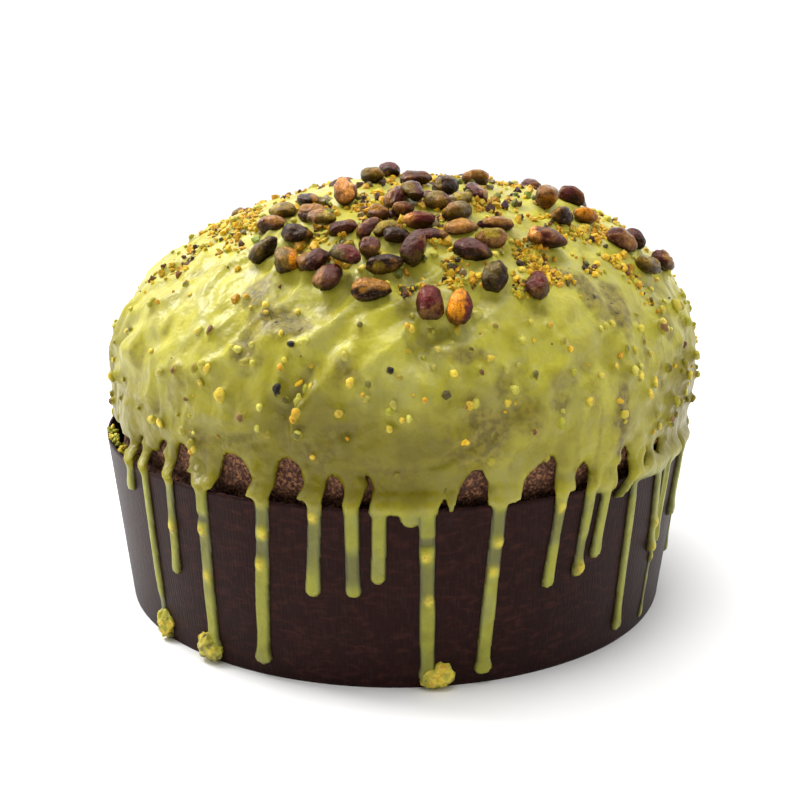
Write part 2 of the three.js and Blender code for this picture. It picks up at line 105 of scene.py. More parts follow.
# Arches in that edge, where the loaf shows: [angle, reach to each side, height above the edge].
ARCHES = [
    [-158, 5, 5, 3.4], [-144.4, 4, 3, 4], [-137, 4, 3, 6], [-131.4, 3.6, 4, 7.4], [-126.2, 2, 2.4, 4],
    [-121, 2.2, 11, 12], [-109, 5, 5.2, 12.3], [-101, 4.4, 5, 8.4], [-96, 4.2, 3.6, 11],
    [-82.3, 1.8, 1.8, 4.6], [-78, 5, 5.6, 10.6], [-64.2, 9.5, 3, 11.5], [-56.4, 4.6, 4.6, 9.4],
    [-47.2, 4.2, 4.2, 12.5], [-24, 2.6, 3.4, 6], [-12, 6, 4, 9], [-1, 4, 5, 6], [17, 8, 4, 11],
    [29, 4, 4, 7], [48, 7, 7, 9], [60, 3, 5, 6], [81, 10, 5, 12], [93, 4, 3.5, 7], [103, 4, 4, 9],
    [115, 6, 6, 10], [134, 5, 9, 10], [146, 4, 4, 6], [158, 6, 5, 11], [178, 5, 6, 9],
]
# Small gaps in the coat above its edge: [angle, height, half width, half height].
GAPS = [[-42, 67.4, 3.2, 2.6], [-35.6, 68, 2.6, 2.1]]
# Runs down the paper: [angle at the rim, angle at the end, end height, width, depth, thin stretches as
# [height, reach, how clear], heights of the nuts in it].
RUNS = [
    [-145, -146, 51.5, 4.2, 1.2, [], []],
    [-139.4, -140.8, 6, 3.6, 1.2, [[11, 5, 0.8]], []],
    [-132, -133.4, 28, 3.9, 1.2, [[55, 6, 0.45]], [46]],
    [-124.2, -125.6, 6, 4.9, 1.2, [[52, 1.6, 1], [40, 9, 0.5]], [48, 32]],
    [-112, -114.4, 6.6, 5.0, 1.2, [[56.5, 3.4, 0.7], [46, 3, 0.85]], [51.5, 40.5]],
    [-103, -104, 31.4, 4.7, 1.1, [[50, 9, 0.6]], [58.6]],
    [-97, -97, 32, 4.9, 1.2, [[42, 6, 0.85]], []],
    [-92.4, -92.8, 37, 4.9, 1.4, [], []],
    [-87.8, -87.4, 56.3, 5.6, 1.7, [], []],
    [-85, -84.2, 4.5, 5.1, 1.2, [[51.2, 1.5, 1], [38, 7, 0.65], [9, 6, 0.3]], [46.5, 31.5]],
    [-73, -74.2, 5.6, 4.9, 1.2, [[56, 5, 0.75], [45, 4, 0.75]], [49.5, 40]],
    [-61.6, -62.8, 30.6, 4.2, 1.2, [[52, 6, 0.6]], [58.4]],
    [-55.4, -56.6, 32, 4.2, 1.2, [[42, 4, 0.6]], [35.6]],
    [-51.4, -52.8, 37, 4.1, 1.3, [], []],
    [-45.2, -49, 56, 4.2, 1.6, [], []],
    [-44, -43.2, 7, 3.7, 1.2, [[58, 3, 0.4]], []],
    [-35.5, -33.4, 28.6, 3.6, 1.3, [], [40, 31]],
    [-30.6, -31.4, 31, 3, 1.1, [], []],
    [-22.6, -24, 36.4, 4.6, 1.6, [], []],
    [-31.8, -32.6, 4.2, 2.4, 0.5, [[24, 5, 0.7], [12, 5, 0.5]], [26]],
    [-8, -9, 12, 4.4, 1.2, [[40, 7, 0.6]], [30]],
    [4, 4, 38, 4.6, 1.3, [], []],
    [11, 11.6, 26, 4.2, 1.2, [[44, 6, 0.5]], []],
    [24, 23, 5, 5.0, 1.2, [[44, 5, 0.7], [22, 4, 0.5]], [32]],
    [38, 38, 44, 4.9, 1.4, [], []],
    [54, 55, 18, 4.6, 1.2, [[42, 7, 0.6]], [33]],
    [66, 66, 33, 4.4, 1.3, [], []],
    [74, 73, 6, 5, 1.2, [[48, 6, 0.5], [24, 4, 0.6]], [38]],
    [88, 88, 40, 4.8, 1.3, [], []],
    [98, 99, 22, 4.4, 1.2, [[50, 6, 0.6]], []],
    [108, 108, 49, 4.4, 1.4, [], []],
    [122, 121, 9, 5, 1.2, [[34, 8, 0.6]], [44]],
    [129, 129, 35, 4.2, 1.3, [], []],
    [141, 142, 27, 4.6, 1.2, [[47, 6, 0.6]], []],
    [151, 151, 46, 4.8, 1.5, [], []],
    [160, 159, 4.6, 5, 1.2, [[38, 6, 0.6], [18, 5, 0.4]], [28]],
    [169, 169, 30, 4.4, 1.3, [], []],
    [179, 179.6, 20, 4.8, 1.2, [[45, 7, 0.6]], [36]],
]
FILLET = 1.3  # rounding where the coat, its arches and the runs meet
RUN_ROOT = 7  # how far a run goes on above the rim, under the coat
RUN_WINDOW = math.radians(8)  # a run is worked out this far to each side
RUN_THICKNESS = 1.2
FOOT_END = 10  # a run that ends lower than this spreads on the table instead of ending in a drop
# How far a run slants sideways above the rim, in millimetres for each millimetre, by its angle at the rim.
SLANTS = {
    -145: 0.95, -139.4: 1.2, -132: 1.05, -124.2: 1.05, -112: 0.25, -103: 0.3, -73: -0.3, -61.6: -0.2,
    -55.4: -0.5, -51.4: 0.1, -45.2: -0.8, -44: -0.4, -35.5: -0.8,
}
# Lumps of glaze and nut at the foot of a run: [angle, height, half width, depth, half height].
FOOT_LUMPS = [
    [-140.2, 5.6, 3.9, 3.4, 5], [-126.6, 5, 5, 3.8, 4.8], [-82.4, 4.2, 5.2, 3.6, 4],
    [74.5, 4.4, 4.4, 3.4, 4.2],
]


def length(name, description, size):
    """A setting that is a length, with its usual size in millimetres."""
    return FloatProperty(name=name, description=description, default=size * MM, unit="LENGTH")


def amount(name, description, usual):
    """A setting that is a plain number."""
    return FloatProperty(name=name, description=description, default=usual)


def tint(name, description, colour):
    """A setting that is a colour."""
    return FloatVectorProperty(name=name, description=description, default=colour, subtype="COLOR")


class GlazeSettings(PropertyGroup):
    """Sizes and colours of the glaze."""

    lip: length("Lip", "Width over which the glaze rises from its edge", 2.4)
    folds: length("Folds", "Height of the folds on the dome", 2.2)
    waves: length("Waves", "Height of the broad unevenness of the dome", 0.9)
    bead: length("Bead", "Height of the glaze that stands up round each kernel", 1.5)
    colour: tint("Colour", "Glaze where it is thick", (0.46, 0.42, 0.04))
    pale: tint("Pale", "Glaze in its chalky streaks", (0.5, 0.455, 0.09))
    # Deep is painted shade: it darkens the glaze to olive low on the dome.
    deep: tint("Deep", "Tint of the glaze low on the dome", (0.42, 0.38, 0.06))
    thin: tint("Thin", "Glaze where the paper or the loaf shows through", (0.08, 0.078, 0.026))


class PaperSettings(PropertyGroup):
    """Sizes and colours of the paper mould."""

    rib_pitch: length("Rib pitch", "Distance between the fine ribs", 1.3)
    rib_depth: length("Rib depth", "Height of the fine ribs", 0.02)
    notch: length("Notch", "Depth of the notches in the cut rim", 0.35)
    colour: tint("Colour", "Dark baking paper", (0.0125, 0.0046, 0.004))
    flush: tint("Flush", "Reddish mottling of the paper", (0.034, 0.0105, 0.008))


class LoafSettings(PropertyGroup):
    """Sizes and colours of the baked dough."""

    grain: length("Grain", "Height of the open crumb's grains", 0.55)
    colour: tint("Colour", "Cocoa dough", (0.075, 0.025, 0.014))
    grains: tint("Grains", "Lit grains of the crumb", (0.38, 0.17, 0.075))


class KernelSettings(PropertyGroup):
    """Sizes of the whole kernels."""

    wrinkles: length("Wrinkles", "Depth of the wrinkles along a kernel", 0.4)
    seam: length("Seam", "Depth of the seam along a kernel's side", 0.45)


class StageSettings(PropertyGroup):
    """Camera, light and floor."""

    distance: length("Distance", "Camera to the object's axis, over the floor", 450)
    height: length("Height", "Camera above the floor", 187)
    pitch: FloatProperty(
        name="Pitch", description="How far the camera looks down", subtype="ANGLE",
        default=math.radians(14.94),
    )
    lens: amount("Lens", "Focal length in millimetres", 55.04)
    behind: amount("Behind", "Strength of the white surroundings behind", 1.5)
    before: amount("Before", "Strength of the surroundings over the camera", 0.1)
    key: amount("Key", "Power of the large light on the left, in watts", 9.5)
    top: amount("Top", "Power of the light above, in watts", 6)
    floor: tint("Floor", "Pale floor", (0.89, 0.885, 0.88))


# ---------------------------------------------------------------- arithmetic shared by the pieces


def eased(x, low, high):
    """0 below low, 1 above high, and the smooth cubic 3t^2 - 2t^3 between."""
    t = np.clip((x - low) / (high - low), 0, 1)
    return t * t * (3 - 2 * t)


def joined(a, b, reach):
    """The larger of a and b, with the crease between them filled over the given reach."""
    blend = np.clip(0.5 + (a - b) / (2 * reach), 0, 1)
    return b + (a - b) * blend + reach * blend * (1 - blend)


def wrapped(angle):
    """The same direction, as an angle from minus half a turn to half a turn."""
    return (angle + math.pi) % TURN - math.pi


def turned_by(theta, degrees):
    """Angle in radians from a direction in degrees to theta."""
    return wrapped(theta - math.radians(degrees))


def aside_from(theta, degrees):
    """Distance round the rim from a direction in degrees to theta, in millimetres."""
    return turned_by(theta, degrees) * RIM_RADIUS


def round_axis(radius, theta, z, lean=0):
    """Points at a distance from the Z axis, in a direction and at a height, all moved along X by the lean."""
    return np.stack([radius * np.cos(theta) + lean, radius * np.sin(theta), z], -1)


def hashed(cells, seed):
    """A fixed pseudo-random number from -1 to 1 for each whole-number cell, by mixing its bits."""
    whole = cells.astype(np.int64).astype(np.uint32)
    mixed = whole[..., 0] * np.uint32(0x8DA6B343)
    mixed = mixed ^ (whole[..., 1] * np.uint32(0xD8163841))
    mixed = mixed ^ (whole[..., 2] * np.uint32(0xCB1AB31F))
    mixed = mixed ^ np.uint32((seed * 0x9E3779B1) & 0xFFFFFFFF)
    mixed = (mixed ^ (mixed >> np.uint32(15))) * np.uint32(0x2C1B3C6D)
    mixed = (mixed ^ (mixed >> np.uint32(12))) * np.uint32(0x297A2D39)
    mixed = mixed ^ (mixed >> np.uint32(15))
    return mixed / 2.0**31 - 1


def ripple(points, size, seed):
    """Smooth noise from -1 to 1: hashed values at the corners of cubes of the given size, eased between."""
    scaled = points / size
    cell = np.floor(scaled)
    part = scaled - cell
    part = part * part * part * (part * (part * 6 - 15) + 10)
    total = 0
    for corner in np.ndindex(2, 2, 2):
        weight = np.prod(np.where(corner, part, 1 - part), axis=-1)
        total = total + weight * hashed(cell + corner, seed)
    return total


def roughened(points, size, octaves, seed):
    """Sum of ripples, each of half the size and half the height of the one before."""
    total = 0
    for octave in range(octaves):
        total = total + ripple(points, size / 2**octave, seed + octave) / 2**octave
    return total


def unit(vectors):
    """The vectors with length 1."""
    return vectors / np.linalg.norm(vectors, axis=-1, keepdims=True)


# ---------------------------------------------------------------- surfaces of the loaf and of the mould


def dome_point(theta, polar, inset):
    """Superellipse dome: polar is 0 at the top and a quarter turn where it is widest; inset goes inwards."""
    roundness = DOME_ROUNDNESS + DOME_SHOULDER * np.cos(theta)
    rise = np.clip(np.cos(polar), 0, 1) ** (2 / DOME_CROWN)
    radius = (DOME_RADIUS - inset) * np.clip(np.sin(polar), 0, 1) ** (2 / roundness)
    lean = LEAN_AT_WIDEST + (LEAN_AT_TOP - LEAN_AT_WIDEST) * rise
    z = WIDEST_HEIGHT + (DOME_TOP - inset - WIDEST_HEIGHT) * rise
    return round_axis(radius, theta, z, lean)


def skirt_point(theta, z, inset):
    """Below its widest height the dome draws in by the square of the way down to the rim."""
    down = (WIDEST_HEIGHT - z) / (WIDEST_HEIGHT - RIM_HEIGHT)
    radius = DOME_RADIUS - inset - TUCK * down * down
    lean = LEAN_AT_WIDEST + (LEAN_AT_RIM - LEAN_AT_WIDEST) * down
    return round_axis(radius, theta, z, lean)


SEAM_ANGLE = 46  # where the band's ends overlap, at the back
SEAM_REACH = 7


def paper_radius(theta, z):
    """Outside of the band: the cone from foot to rim, a slow waviness, and the step of the glued overlap."""
    waviness = 0.16 * ripple(round_axis(2, theta, z / 60), 0.7, 3)
    from_seam = np.degrees(turned_by(theta, SEAM_ANGLE))
    overlap = eased(from_seam, -SEAM_REACH, -SEAM_REACH + 1.2) * (1 - eased(from_seam, 0, 0.25))
    return FOOT_RADIUS + (RIM_RADIUS - FOOT_RADIUS) * z / RIM_HEIGHT + waviness + 0.45 * overlap


POLARS = np.linspace(0, math.pi / 2, 400)
FRONT_ARC = dome_point(-math.pi / 2 + 0 * POLARS, POLARS, GLAZE)
DOME_ARC = np.concatenate([[0], np.cumsum(np.linalg.norm(np.diff(FRONT_ARC, axis=0), axis=1))])
DOME_LENGTH = DOME_ARC[-1]
WHOLE_LENGTH = DOME_LENGTH + WIDEST_HEIGHT
OVER_RIM = [RIM_HEIGHT + 0.15, RIM_HEIGHT + 6]  # the glaze bridges the gap between loaf and paper here


def height_of(path):
    """Height that belongs to a length down the surface, below the widest height."""
    return WIDEST_HEIGHT - (path - DOME_LENGTH)


def over_rim(theta, z):
    """The skirt of the loaf above the rim, the paper below it, and a smooth step between."""
    skirt = skirt_point(theta, np.clip(z, RIM_HEIGHT, WIDEST_HEIGHT), GLAZE)
    radius = paper_radius(theta, z) + 0.04
    wall = round_axis(radius, theta, z)
    skirt[..., 2] = z
    outside = (1 - eased(z, *OVER_RIM))[..., None]
    return skirt * (1 - outside) + wall * outside


def backing(theta, path):
    """What the glaze lies on. path is the length down from the top: over the dome, in from the skirt to the
    rim, and then straight down the paper."""
    dome = dome_point(theta, np.interp(path, DOME_ARC, POLARS), GLAZE)
    return np.where((path < DOME_LENGTH)[..., None], dome, over_rim(theta, height_of(path)))


def backing_normal(theta, path):
    """Direction in which the glaze is built up: square to the dome, and level to a little downwards below the
    widest height."""
    step = 0.4
    polar = np.interp(path, DOME_ARC, POLARS)
    polar_step = step / DOME_RADIUS
    above = dome_point(theta, np.clip(polar - polar_step, 1e-4, math.pi / 2), GLAZE)
    below = dome_point(theta, np.clip(polar + polar_step, 1e-4, math.pi / 2), GLAZE)
    right = dome_point(theta + polar_step, np.maximum(polar, 0.01), GLAZE)
    left = dome_point(theta - polar_step, np.maximum(polar, 0.01), GLAZE)
    square = unit(np.cross(below - above, right - left))
    on_paper = 1 - eased(height_of(path), RIM_HEIGHT, WIDEST_HEIGHT)
    level = unit(round_axis(1, theta, (FOOT_RADIUS - RIM_RADIUS) / RIM_HEIGHT * on_paper))
    towards = eased(path, DOME_LENGTH - 12, DOME_LENGTH)[..., None]
    return unit(square * (1 - towards) + level * towards)


def dome_spot(x, y):
    """Angle and path of the point of the dome that lies under x, y in plan."""
    lean = np.full(np.shape(x), float(LEAN_AT_TOP))
    for _ in range(4):
        theta = np.arctan2(y, x - lean)
        share = np.clip(np.hypot(x - lean, y) / (DOME_RADIUS - GLAZE), 0, 1)
        polar = np.arcsin(share ** ((DOME_ROUNDNESS + DOME_SHOULDER * np.cos(theta)) / 2))
        lean = LEAN_AT_WIDEST + (LEAN_AT_TOP - LEAN_AT_WIDEST) * np.cos(polar) ** (2 / DOME_CROWN)
    return theta, np.interp(polar, POLARS, DOME_ARC)


# ---------------------------------------------------------------- the kernels' places, read from the CAD


def kernel_places():
    """Centre, axes and half sizes of each CAD kernel: the axes are the principal ones of its corner points,
    the long one pointing to the narrower end and the short one up."""
    places = []
    for node in sorted(name for name in frame["nodes"] if name.startswith("pistachio_")):
        points = node_points(node)
        centre = points.mean(0)
        axes = np.linalg.svd(points - centre, full_matrices=False)[2]
        along = (points - centre) @ axes.T
        thin_side = np.hypot(along[:, 1], along[:, 2])[along[:, 0] > 0].mean()
        thick_side = np.hypot(along[:, 1], along[:, 2])[along[:, 0] < 0].mean()
        if thin_side > thick_side:
            axes[0] = -axes[0]
        if axes[2][2] < 0:
            axes[2] = -axes[2]
        axes[1] = np.cross(axes[2], axes[0])
        along = (points - centre) @ axes.T
        low_high = np.stack([along.min(0), along.max(0)])
        centre = centre + (low_high.mean(0) @ axes)
        places.append((node, centre, axes, (low_high[1] - low_high[0]) / 2))
    return places


KERNEL_PLACES = kernel_places()

# Small kernels and halves that the CAD leaves out, each resting on the glaze:
# [x, y, heading in degrees, length, width, thickness, look].
LOOSE_KERNELS = [
    [-2.8, -63.4, 40, 10.4, 6.2, 5.4, "leaf"], [-14, -70, 60, 7.4, 5, 4.4, "leaf"],
    [12, -42, -20, 8, 5, 4.4, "plum"], [2, -62, 40, 7, 4.6, 4, "ember"],
    [-46, 56, 20, 11.6, 7.4, 6.6, "plum"], [-60, 44, 80, 12, 8, 7, "olive"],
    [6, 56, -40, 12.4, 7.8, 7, "ember"], [28, 54, 30, 11.4, 7.4, 6.8, "night"],
    [52, 40, -60, 12, 8, 7, "plum"], [-20, 50, 10, 11, 7.6, 6.6, "tan"],
    [-4, 42, 140, 12, 7.6, 6.8, "leaf"], [38, 84, 15, 11.6, 7.6, 6.8, "olive"],
    [-52, 70, 40, 12, 7.8, 7, "ember"], [70, 40, 60, 11, 7.4, 6.8, "plum"],
    [20, 92, 70, 10.6, 7, 6.4, "night"],
]


def loose_places():
    """Places of the loose kernels, laid on the glaze with the short axis square to it."""
    places = []
    for n, (x, y, heading, length, width, thickness, look) in enumerate(LOOSE_KERNELS):
        theta, path = dome_spot(np.array([float(x)]), np.array([float(y)]))
        up = backing_normal(theta, path)[0]
        ahead = np.array([math.cos(math.radians(heading)), math.sin(math.radians(heading)), 0])
        along = unit(ahead - up * (ahead @ up))
        axes = np.stack([along, np.cross(up, along), up])
        half = np.array([length, width, thickness]) / 2
        centre = backing(theta, path)[0] + up * (GLAZE + half[2] * 0.86)
        places.append((f"loose_{n + 1:02d}", centre, axes, half, look))
    return places


# ---------------------------------------------------------------- the glaze as a field over its backing


def edge_base(theta):
    """Height of the coat's edge between the arches: straight steps through EDGE_LINE and a slight ripple."""
    angles, heights = np.array(EDGE_LINE, float).T
    base = np.interp(np.degrees(theta) % 360, angles % 360, heights, period=360)
    return base + 0.4 * ripple(round_axis(RIM_RADIUS, theta, 0 * theta), 7, 11)


def coat_depth(theta, z):
    """Distance inside the coat: above its edge and outside every arch and gap, with rounded corners."""
    base = edge_base(theta)
    depth = z - base
    wobble = 0.45 * ripple(round_axis(RIM_RADIUS, theta, z), 4, 12)
    for angle, before, after, height in ARCHES:
        across = turned_by(theta, angle) * DOME_RADIUS
        near = np.abs(across) < 20
        reach = np.where(across < 0, before, after)
        sideways = np.abs(across) / reach
        upwards = np.clip(z - base + 2, 0, None) / (height + 2)
        size = (sideways**2.2 + upwards**2.4 + 1e-9) ** (1 / 2.3)
        from_arch = (size - 1) * np.minimum(reach, height) * 0.8 + wobble
        depth = np.where(near, -joined(-depth, -from_arch, FILLET), depth)
    for angle, height, wide, tall in GAPS:
        across = turned_by(theta, angle) * DOME_RADIUS
        size = np.hypot(across / wide, (z - height) / tall)
        depth = np.minimum(depth, (size - 1) * min(wide, tall))
    return depth


def glaze_field(theta, path):
    """Distance inside the glaze's border, full thickness, how clear it is and where a nut lies in a run.
    The coat and the runs are joined with a fillet; a run is a strip with a round end, uneven in width."""
    z = height_of(path)
    depth = np.full(theta.shape, 9.0)
    thickness = np.full(theta.shape, float(GLAZE))
    clear = np.zeros(theta.shape)
    nut = np.zeros(theta.shape)
    low = z < WIDEST_HEIGHT - 1
    t, h = theta[low], z[low]
    inside = coat_depth(t, h)
    strip_thickness = np.full(t.shape, RUN_THICKNESS)
    strip_clear = np.zeros(t.shape)
    strip_nut = np.zeros(t.shape)
    best = np.full(t.shape, -99.0)
    for n, (top, bottom, end, width, thick, thin, nuts) in enumerate(RUNS):
        near = np.abs(turned_by(t, (top + bottom) / 2)) < RUN_WINDOW
        a, v = t[near], h[near]
        down = np.clip((RIM_HEIGHT - v) / (RIM_HEIGHT - end), 0, 1)
        sway = 0.25 * ripple(np.stack([v * 0, v, v * 0 + n * 7.3], -1), 14, 21)
        over = np.clip(v - RIM_HEIGHT, 0, RUN_ROOT)
        sway = sway + SLANTS.get(top, 0) * over
        across = (turned_by(a, top) - math.radians(bottom - top) * down) * RIM_RADIUS + sway
        swell = 1 + 0.07 * ripple(np.stack([v, v * 0, v * 0 + n * 5.1], -1), 12, 22)
        swell = swell + 0.08 * np.exp(-(((v - end - width / 2) / 3) ** 2)) * (end > FOOT_END)
        flare = 0.35 * np.exp(-(((v - end) / 2.2) ** 2)) * (end < FOOT_END)
        half = width / 2 * (swell + flare)
        full = thick * (1 + 0.35 * np.exp(-(((v - end - 2.5) / 3.5) ** 2)))
        see_through = np.zeros(v.shape)
        for middle, reach, amount in thin:
            far = np.abs(v - middle)
            see_through = np.maximum(see_through, amount * (1 - eased(far, reach * 0.5, reach * 1.4)))
        lump = np.zeros(v.shape)
        for m, place in enumerate(nuts):
            aside = 0.5 * (-1) ** (m + n)
            away = ((v - place) / 1.9) ** 2 + ((across - aside) / 1.8) ** 2
            lump = np.maximum(lump, np.exp(-(away**1.6)))
        half = half * (1 - 0.06 * see_through) + 0.2 * lump + 0.1 * over
        below = np.minimum(v - (end + width / 2 * (end > FOOT_END)), 0)
        above = np.maximum(v - (RIM_HEIGHT + RUN_ROOT), 0)
        strip = half - np.hypot(across, below) - above
        full = full * (1 - 0.6 * see_through) + 0.9 * lump
        taken = strip > best[near]
        strip_thickness[near] = np.where(taken, full, strip_thickness[near])
        strip_clear[near] = np.where(taken, see_through, strip_clear[near])
        strip_nut[near] = np.where(taken, lump, strip_nut[near])
        best[near] = np.maximum(best[near], strip)
        inside[near] = joined(inside[near], strip, FILLET)
    on_coat = eased(h, RIM_HEIGHT - 3, RIM_HEIGHT + 3)
    depth[low] = np.where(h > WIDEST_HEIGHT - 4, np.maximum(inside, 0.5), inside)
    thickness[low] = strip_thickness * (1 - on_coat) + GLAZE * on_coat
    clear[low] = strip_clear * (1 - on_coat)
    nut[low] = strip_nut * (1 - on_coat)
    return depth, thickness, clear, nut


# Where the coat is folded: [angle, slant of the folds, height as a share of the setting, seed].
FOLDS = [[-118, 48, 1, 41], [-62, 30, 0.5, 91], [38, 62, 0.6, 95], [95, 44, 0.9, 99], [168, 56, 0.7, 103]]
# Whole nuts that bulge under the coat: [angle, height, radius, how far they stand out].
BULGES = [
    [-115.5, 107, 5.5, 2.6], [-119, 117, 7, 1.6], [-100, 103, 6, 1.2], [-82, 82, 5, 1.0],
    [-78, 79, 4, 1.4], [-52.5, 118, 6.5, 1.8], [-47.5, 112, 6, 1.4], [-52, 86, 4.5, 1.6],
    [-51.5, 76, 4, 1.4], [-76, 100, 6, 1.0], [-64, 96, 7, 0.9], [-132, 96, 5, 0.8], [-30, 100, 5, 1.0],
    [20, 100, 6, 1.2], [75, 104, 6, 1.4], [110, 92, 5, 1.2], [152, 100, 6, 1.4],
]
# Where broken nuts are sunk into the coat: [angles from, to, heights from, to, count].
LUMP_ZONES = [
    [-122, -92, 84, 118, 32], [-92, -62, 80, 120, 26], [-48, -22, 76, 118, 24], [-165, -122, 72, 124, 18],
    [-62, -48, 84, 120, 8], [-22, 195, 76, 124, 64],
]
# Stains where dark crumbs and the loaf can be seen through the coat:
# [angle, height, half width, half height, strength].
STAINS = [
    [-121, 120, 9, 5, 0.8], [-113, 113, 12, 4, 1], [-118, 106, 5, 7, 0.8], [-106, 117, 5, 4, 0.5],
    [-77, 84, 10, 11, 0.75], [-70, 88, 7, 7, 0.6], [-80, 106, 9, 2, 0.6], [-63, 97, 7, 3, 0.5],
    [-57, 93, 3, 8, 0.4], [-52, 119, 5, 5, 0.95], [-47, 115, 6, 7, 0.95], [-56, 124, 4, 2.5, 0.8],
    [-50, 84, 4, 10, 0.95], [-50.4, 75, 2.4, 4, 1], [-104, 78, 8, 7, 0.5], [-133, 92, 4, 9, 0.4],
    [-127, 76, 8, 5, 0.5], [-92, 74, 10, 3, 0.4], [-90, 118, 5, 3, 0.5], [-33, 108, 4, 9, 0.6],
    [-38, 92, 2, 14, 0.5], [-30, 84, 2, 12, 0.5], [-25, 100, 2, 14, 0.5], [-42, 104, 2, 10, 0.5],
    [-66, 116, 4, 3, 0.4], [-140, 110, 2, 7, 0.4], [-147, 98, 4, 6, 0.4], [10, 96, 6, 8, 0.7],
    [44, 86, 8, 5, 0.6], [78, 110, 7, 6, 0.7], [105, 88, 5, 10, 0.6], [138, 104, 8, 5, 0.7],
    [166, 86, 6, 8, 0.6], [-170, 104, 5, 6, 0.5],
]


def lump_places():
    """Angle, path, width and length down the slope of every sunk nut, strewn in its zone."""
    rng = np.random.default_rng(63)
    zones = np.array(LUMP_ZONES)
    first, last, low, high = np.repeat(zones[:, :4], zones[:, 4], axis=0).T
    angle = rng.uniform(first, last)
    path = np.linspace(0, DOME_LENGTH + 24, 900)
    fall = backing(np.full(path.shape, -math.pi / 2), path)[:, 2]
    down = np.interp(GLAZE * 0.6 - rng.uniform(low, high), -fall, path)
    wide = 1.7 + 2.6 * rng.beta(1.3, 2.6, len(angle))
    return np.radians(angle), down, wide, wide * rng.uniform(0.7, 1.5, len(angle))


def nut_spots():
    """Nut crumbs under the coat: angle, path and radius of each, strewn with a fixed seed."""
    rng = np.random.default_rng(31)
    count = 300
    theta = rng.uniform(-math.pi, math.pi, count)
    path = DOME_LENGTH + 20 - (DOME_LENGTH - 20) * rng.beta(1.25, 1.9, count)
    return theta, path, rng.choice([0.9, 1.3, 1.8], count, p=[0.4, 0.4, 0.2]) * rng.uniform(0.9, 1.1, count)


def relief(settings, theta, path):
    """Height that folds, waves, nut crumbs and kernels add to the coat. The folds are creased noise drawn
    out along the slanting lines that the pouring left round the angles in FOLDS."""
    points = backing(theta, path)
    swirl = 6 * roughened(points, 22, 2, 47)
    height = settings.waves / MM * roughened(points, 24, 3, 43) + 0.6 * ripple(points, 8, 45)
    height = height + 0.3 * ripple(points, 3.8, 46)
    high = eased(path, 50, 84) * (1 - eased(path, DOME_LENGTH - 2, DOME_LENGTH + 18))
    for middle, slant, share, seed in FOLDS:
        aside = turned_by(theta, middle)
        around = aside * RIM_RADIUS + swirl
        along = path * math.sin(math.radians(slant)) - around * math.cos(math.radians(slant))
        over = path * math.cos(math.radians(slant)) + around * math.sin(math.radians(slant)) + 0.6 * swirl
        fold_points = np.stack([along / 2.6, over, points[..., 1] * 0.1], -1)
        creased = 0.6 - 1.7 * np.abs(ripple(fold_points, 11, seed))
        creased = creased + 0.5 * ripple(fold_points + 40, 5, seed + 1)
        near = 1 - eased(np.abs(aside), 0.45, 1.15)
        height = height + settings.folds / MM * share * creased * high * near
    hanging = ripple(np.stack([theta * RIM_RADIUS, path / 10, 0 * path], -1), 4.4, 44)
    height = height + 0.12 * hanging * eased(path, 84, 112)
    for angle, at_height, radius, stands_out in BULGES:
        aside = aside_from(theta, angle)
        away = np.hypot(aside, points[..., 2] - at_height) / radius
        height = height + stands_out * np.exp(-(away**2)) * (np.abs(aside) < 30) * (path > 40)
    for angle, down, radius in zip(*nut_spots()):
        near = np.abs(path - down) < 3 * radius
        aside = aside_from(theta[near], math.degrees(angle))
        height[near] += 0.8 * radius * np.exp(-((np.hypot(aside, path[near] - down) / radius / 1.1) ** 2.4))
    for angle, down, wide, tall in zip(*lump_places()):
        near = np.abs(path - down) < 2 * tall
        aside = aside_from(theta[near], math.degrees(angle)) / (0.5 * wide + 0.45)
        along = (path[near] - down) / (0.5 * tall + 0.45)
        height[near] += 0.5 * wide * np.exp(-((aside**2 + along**2) ** 1.3))
    for place in [*KERNEL_PLACES, *loose_places()]:
        centre, axes, half = place[1:4]
        near = np.linalg.norm(points - centre, axis=-1) < 16
        local = (points[near] - centre) @ axes.T
        away = np.hypot(local[:, 0] / (half[0] + 0.6), local[:, 1] / (half[1] + 0.6))
        on_top = np.abs(local[:, 2]) < half[2] + GLAZE + 3
        height[near] += settings.bead / MM * (1 - eased(away, 0.72, 1.35)) * on_top
    return height


def sleek(depth, lip):
    """Quarter-circle rise of the glaze from nothing at its border to its full thickness."""
    return np.sqrt(np.clip(1 - (1 - np.clip(depth / lip, 0, 1)) ** 2, 0, 1))


def skin_from(settings, theta, path, depth, thickness):
    """Outer skin of the glaze: the backing moved outwards by the thickness and the relief, rounded off
    towards the border. Also returns the full thickness."""
    added = relief(settings, theta, path)
    added = added * (0.1 + 0.9 * eased(height_of(path), RIM_HEIGHT - 2, RIM_HEIGHT + 8))
    full = np.maximum(thickness + added, 0.25)
    rounding = settings.lip / MM * (0.55 + 0.45 * eased(height_of(path), RIM_HEIGHT - 8, RIM_HEIGHT + 4))
    height = full * sleek(depth, rounding)
    return backing(theta, path) + backing_normal(theta, path) * height[..., None], full


def glaze_skin(settings, theta, path):
    """Points on the outer skin of the glaze."""
    depth, thickness = glaze_field(theta, path)[:2]
    return skin_from(settings, theta, path, depth, thickness)[0]


# ---------------------------------------------------------------- grids round the Z axis


def strip_between(upper, upper_count, lower, lower_count):
    """Triangles between two rings of vertices, the lower of which has as many columns or twice as many."""
    i = np.arange(upper_count)
    a, a_next = upper + i, upper + (i + 1) % upper_count
    if lower_count == upper_count:
        b, b_next = lower + i, lower + (i + 1) % lower_count
        return np.concatenate([np.stack([a, b, b_next], 1), np.stack([a, b_next, a_next], 1)])
    b, b_middle, b_next = lower + 2 * i, lower + 2 * i + 1, lower + (2 * i + 2) % lower_count
    corners = [[a, b, b_middle], [a, b_middle, a_next], [a_next, b_middle, b_next]]
    return np.concatenate([np.stack(three, 1) for three in corners])


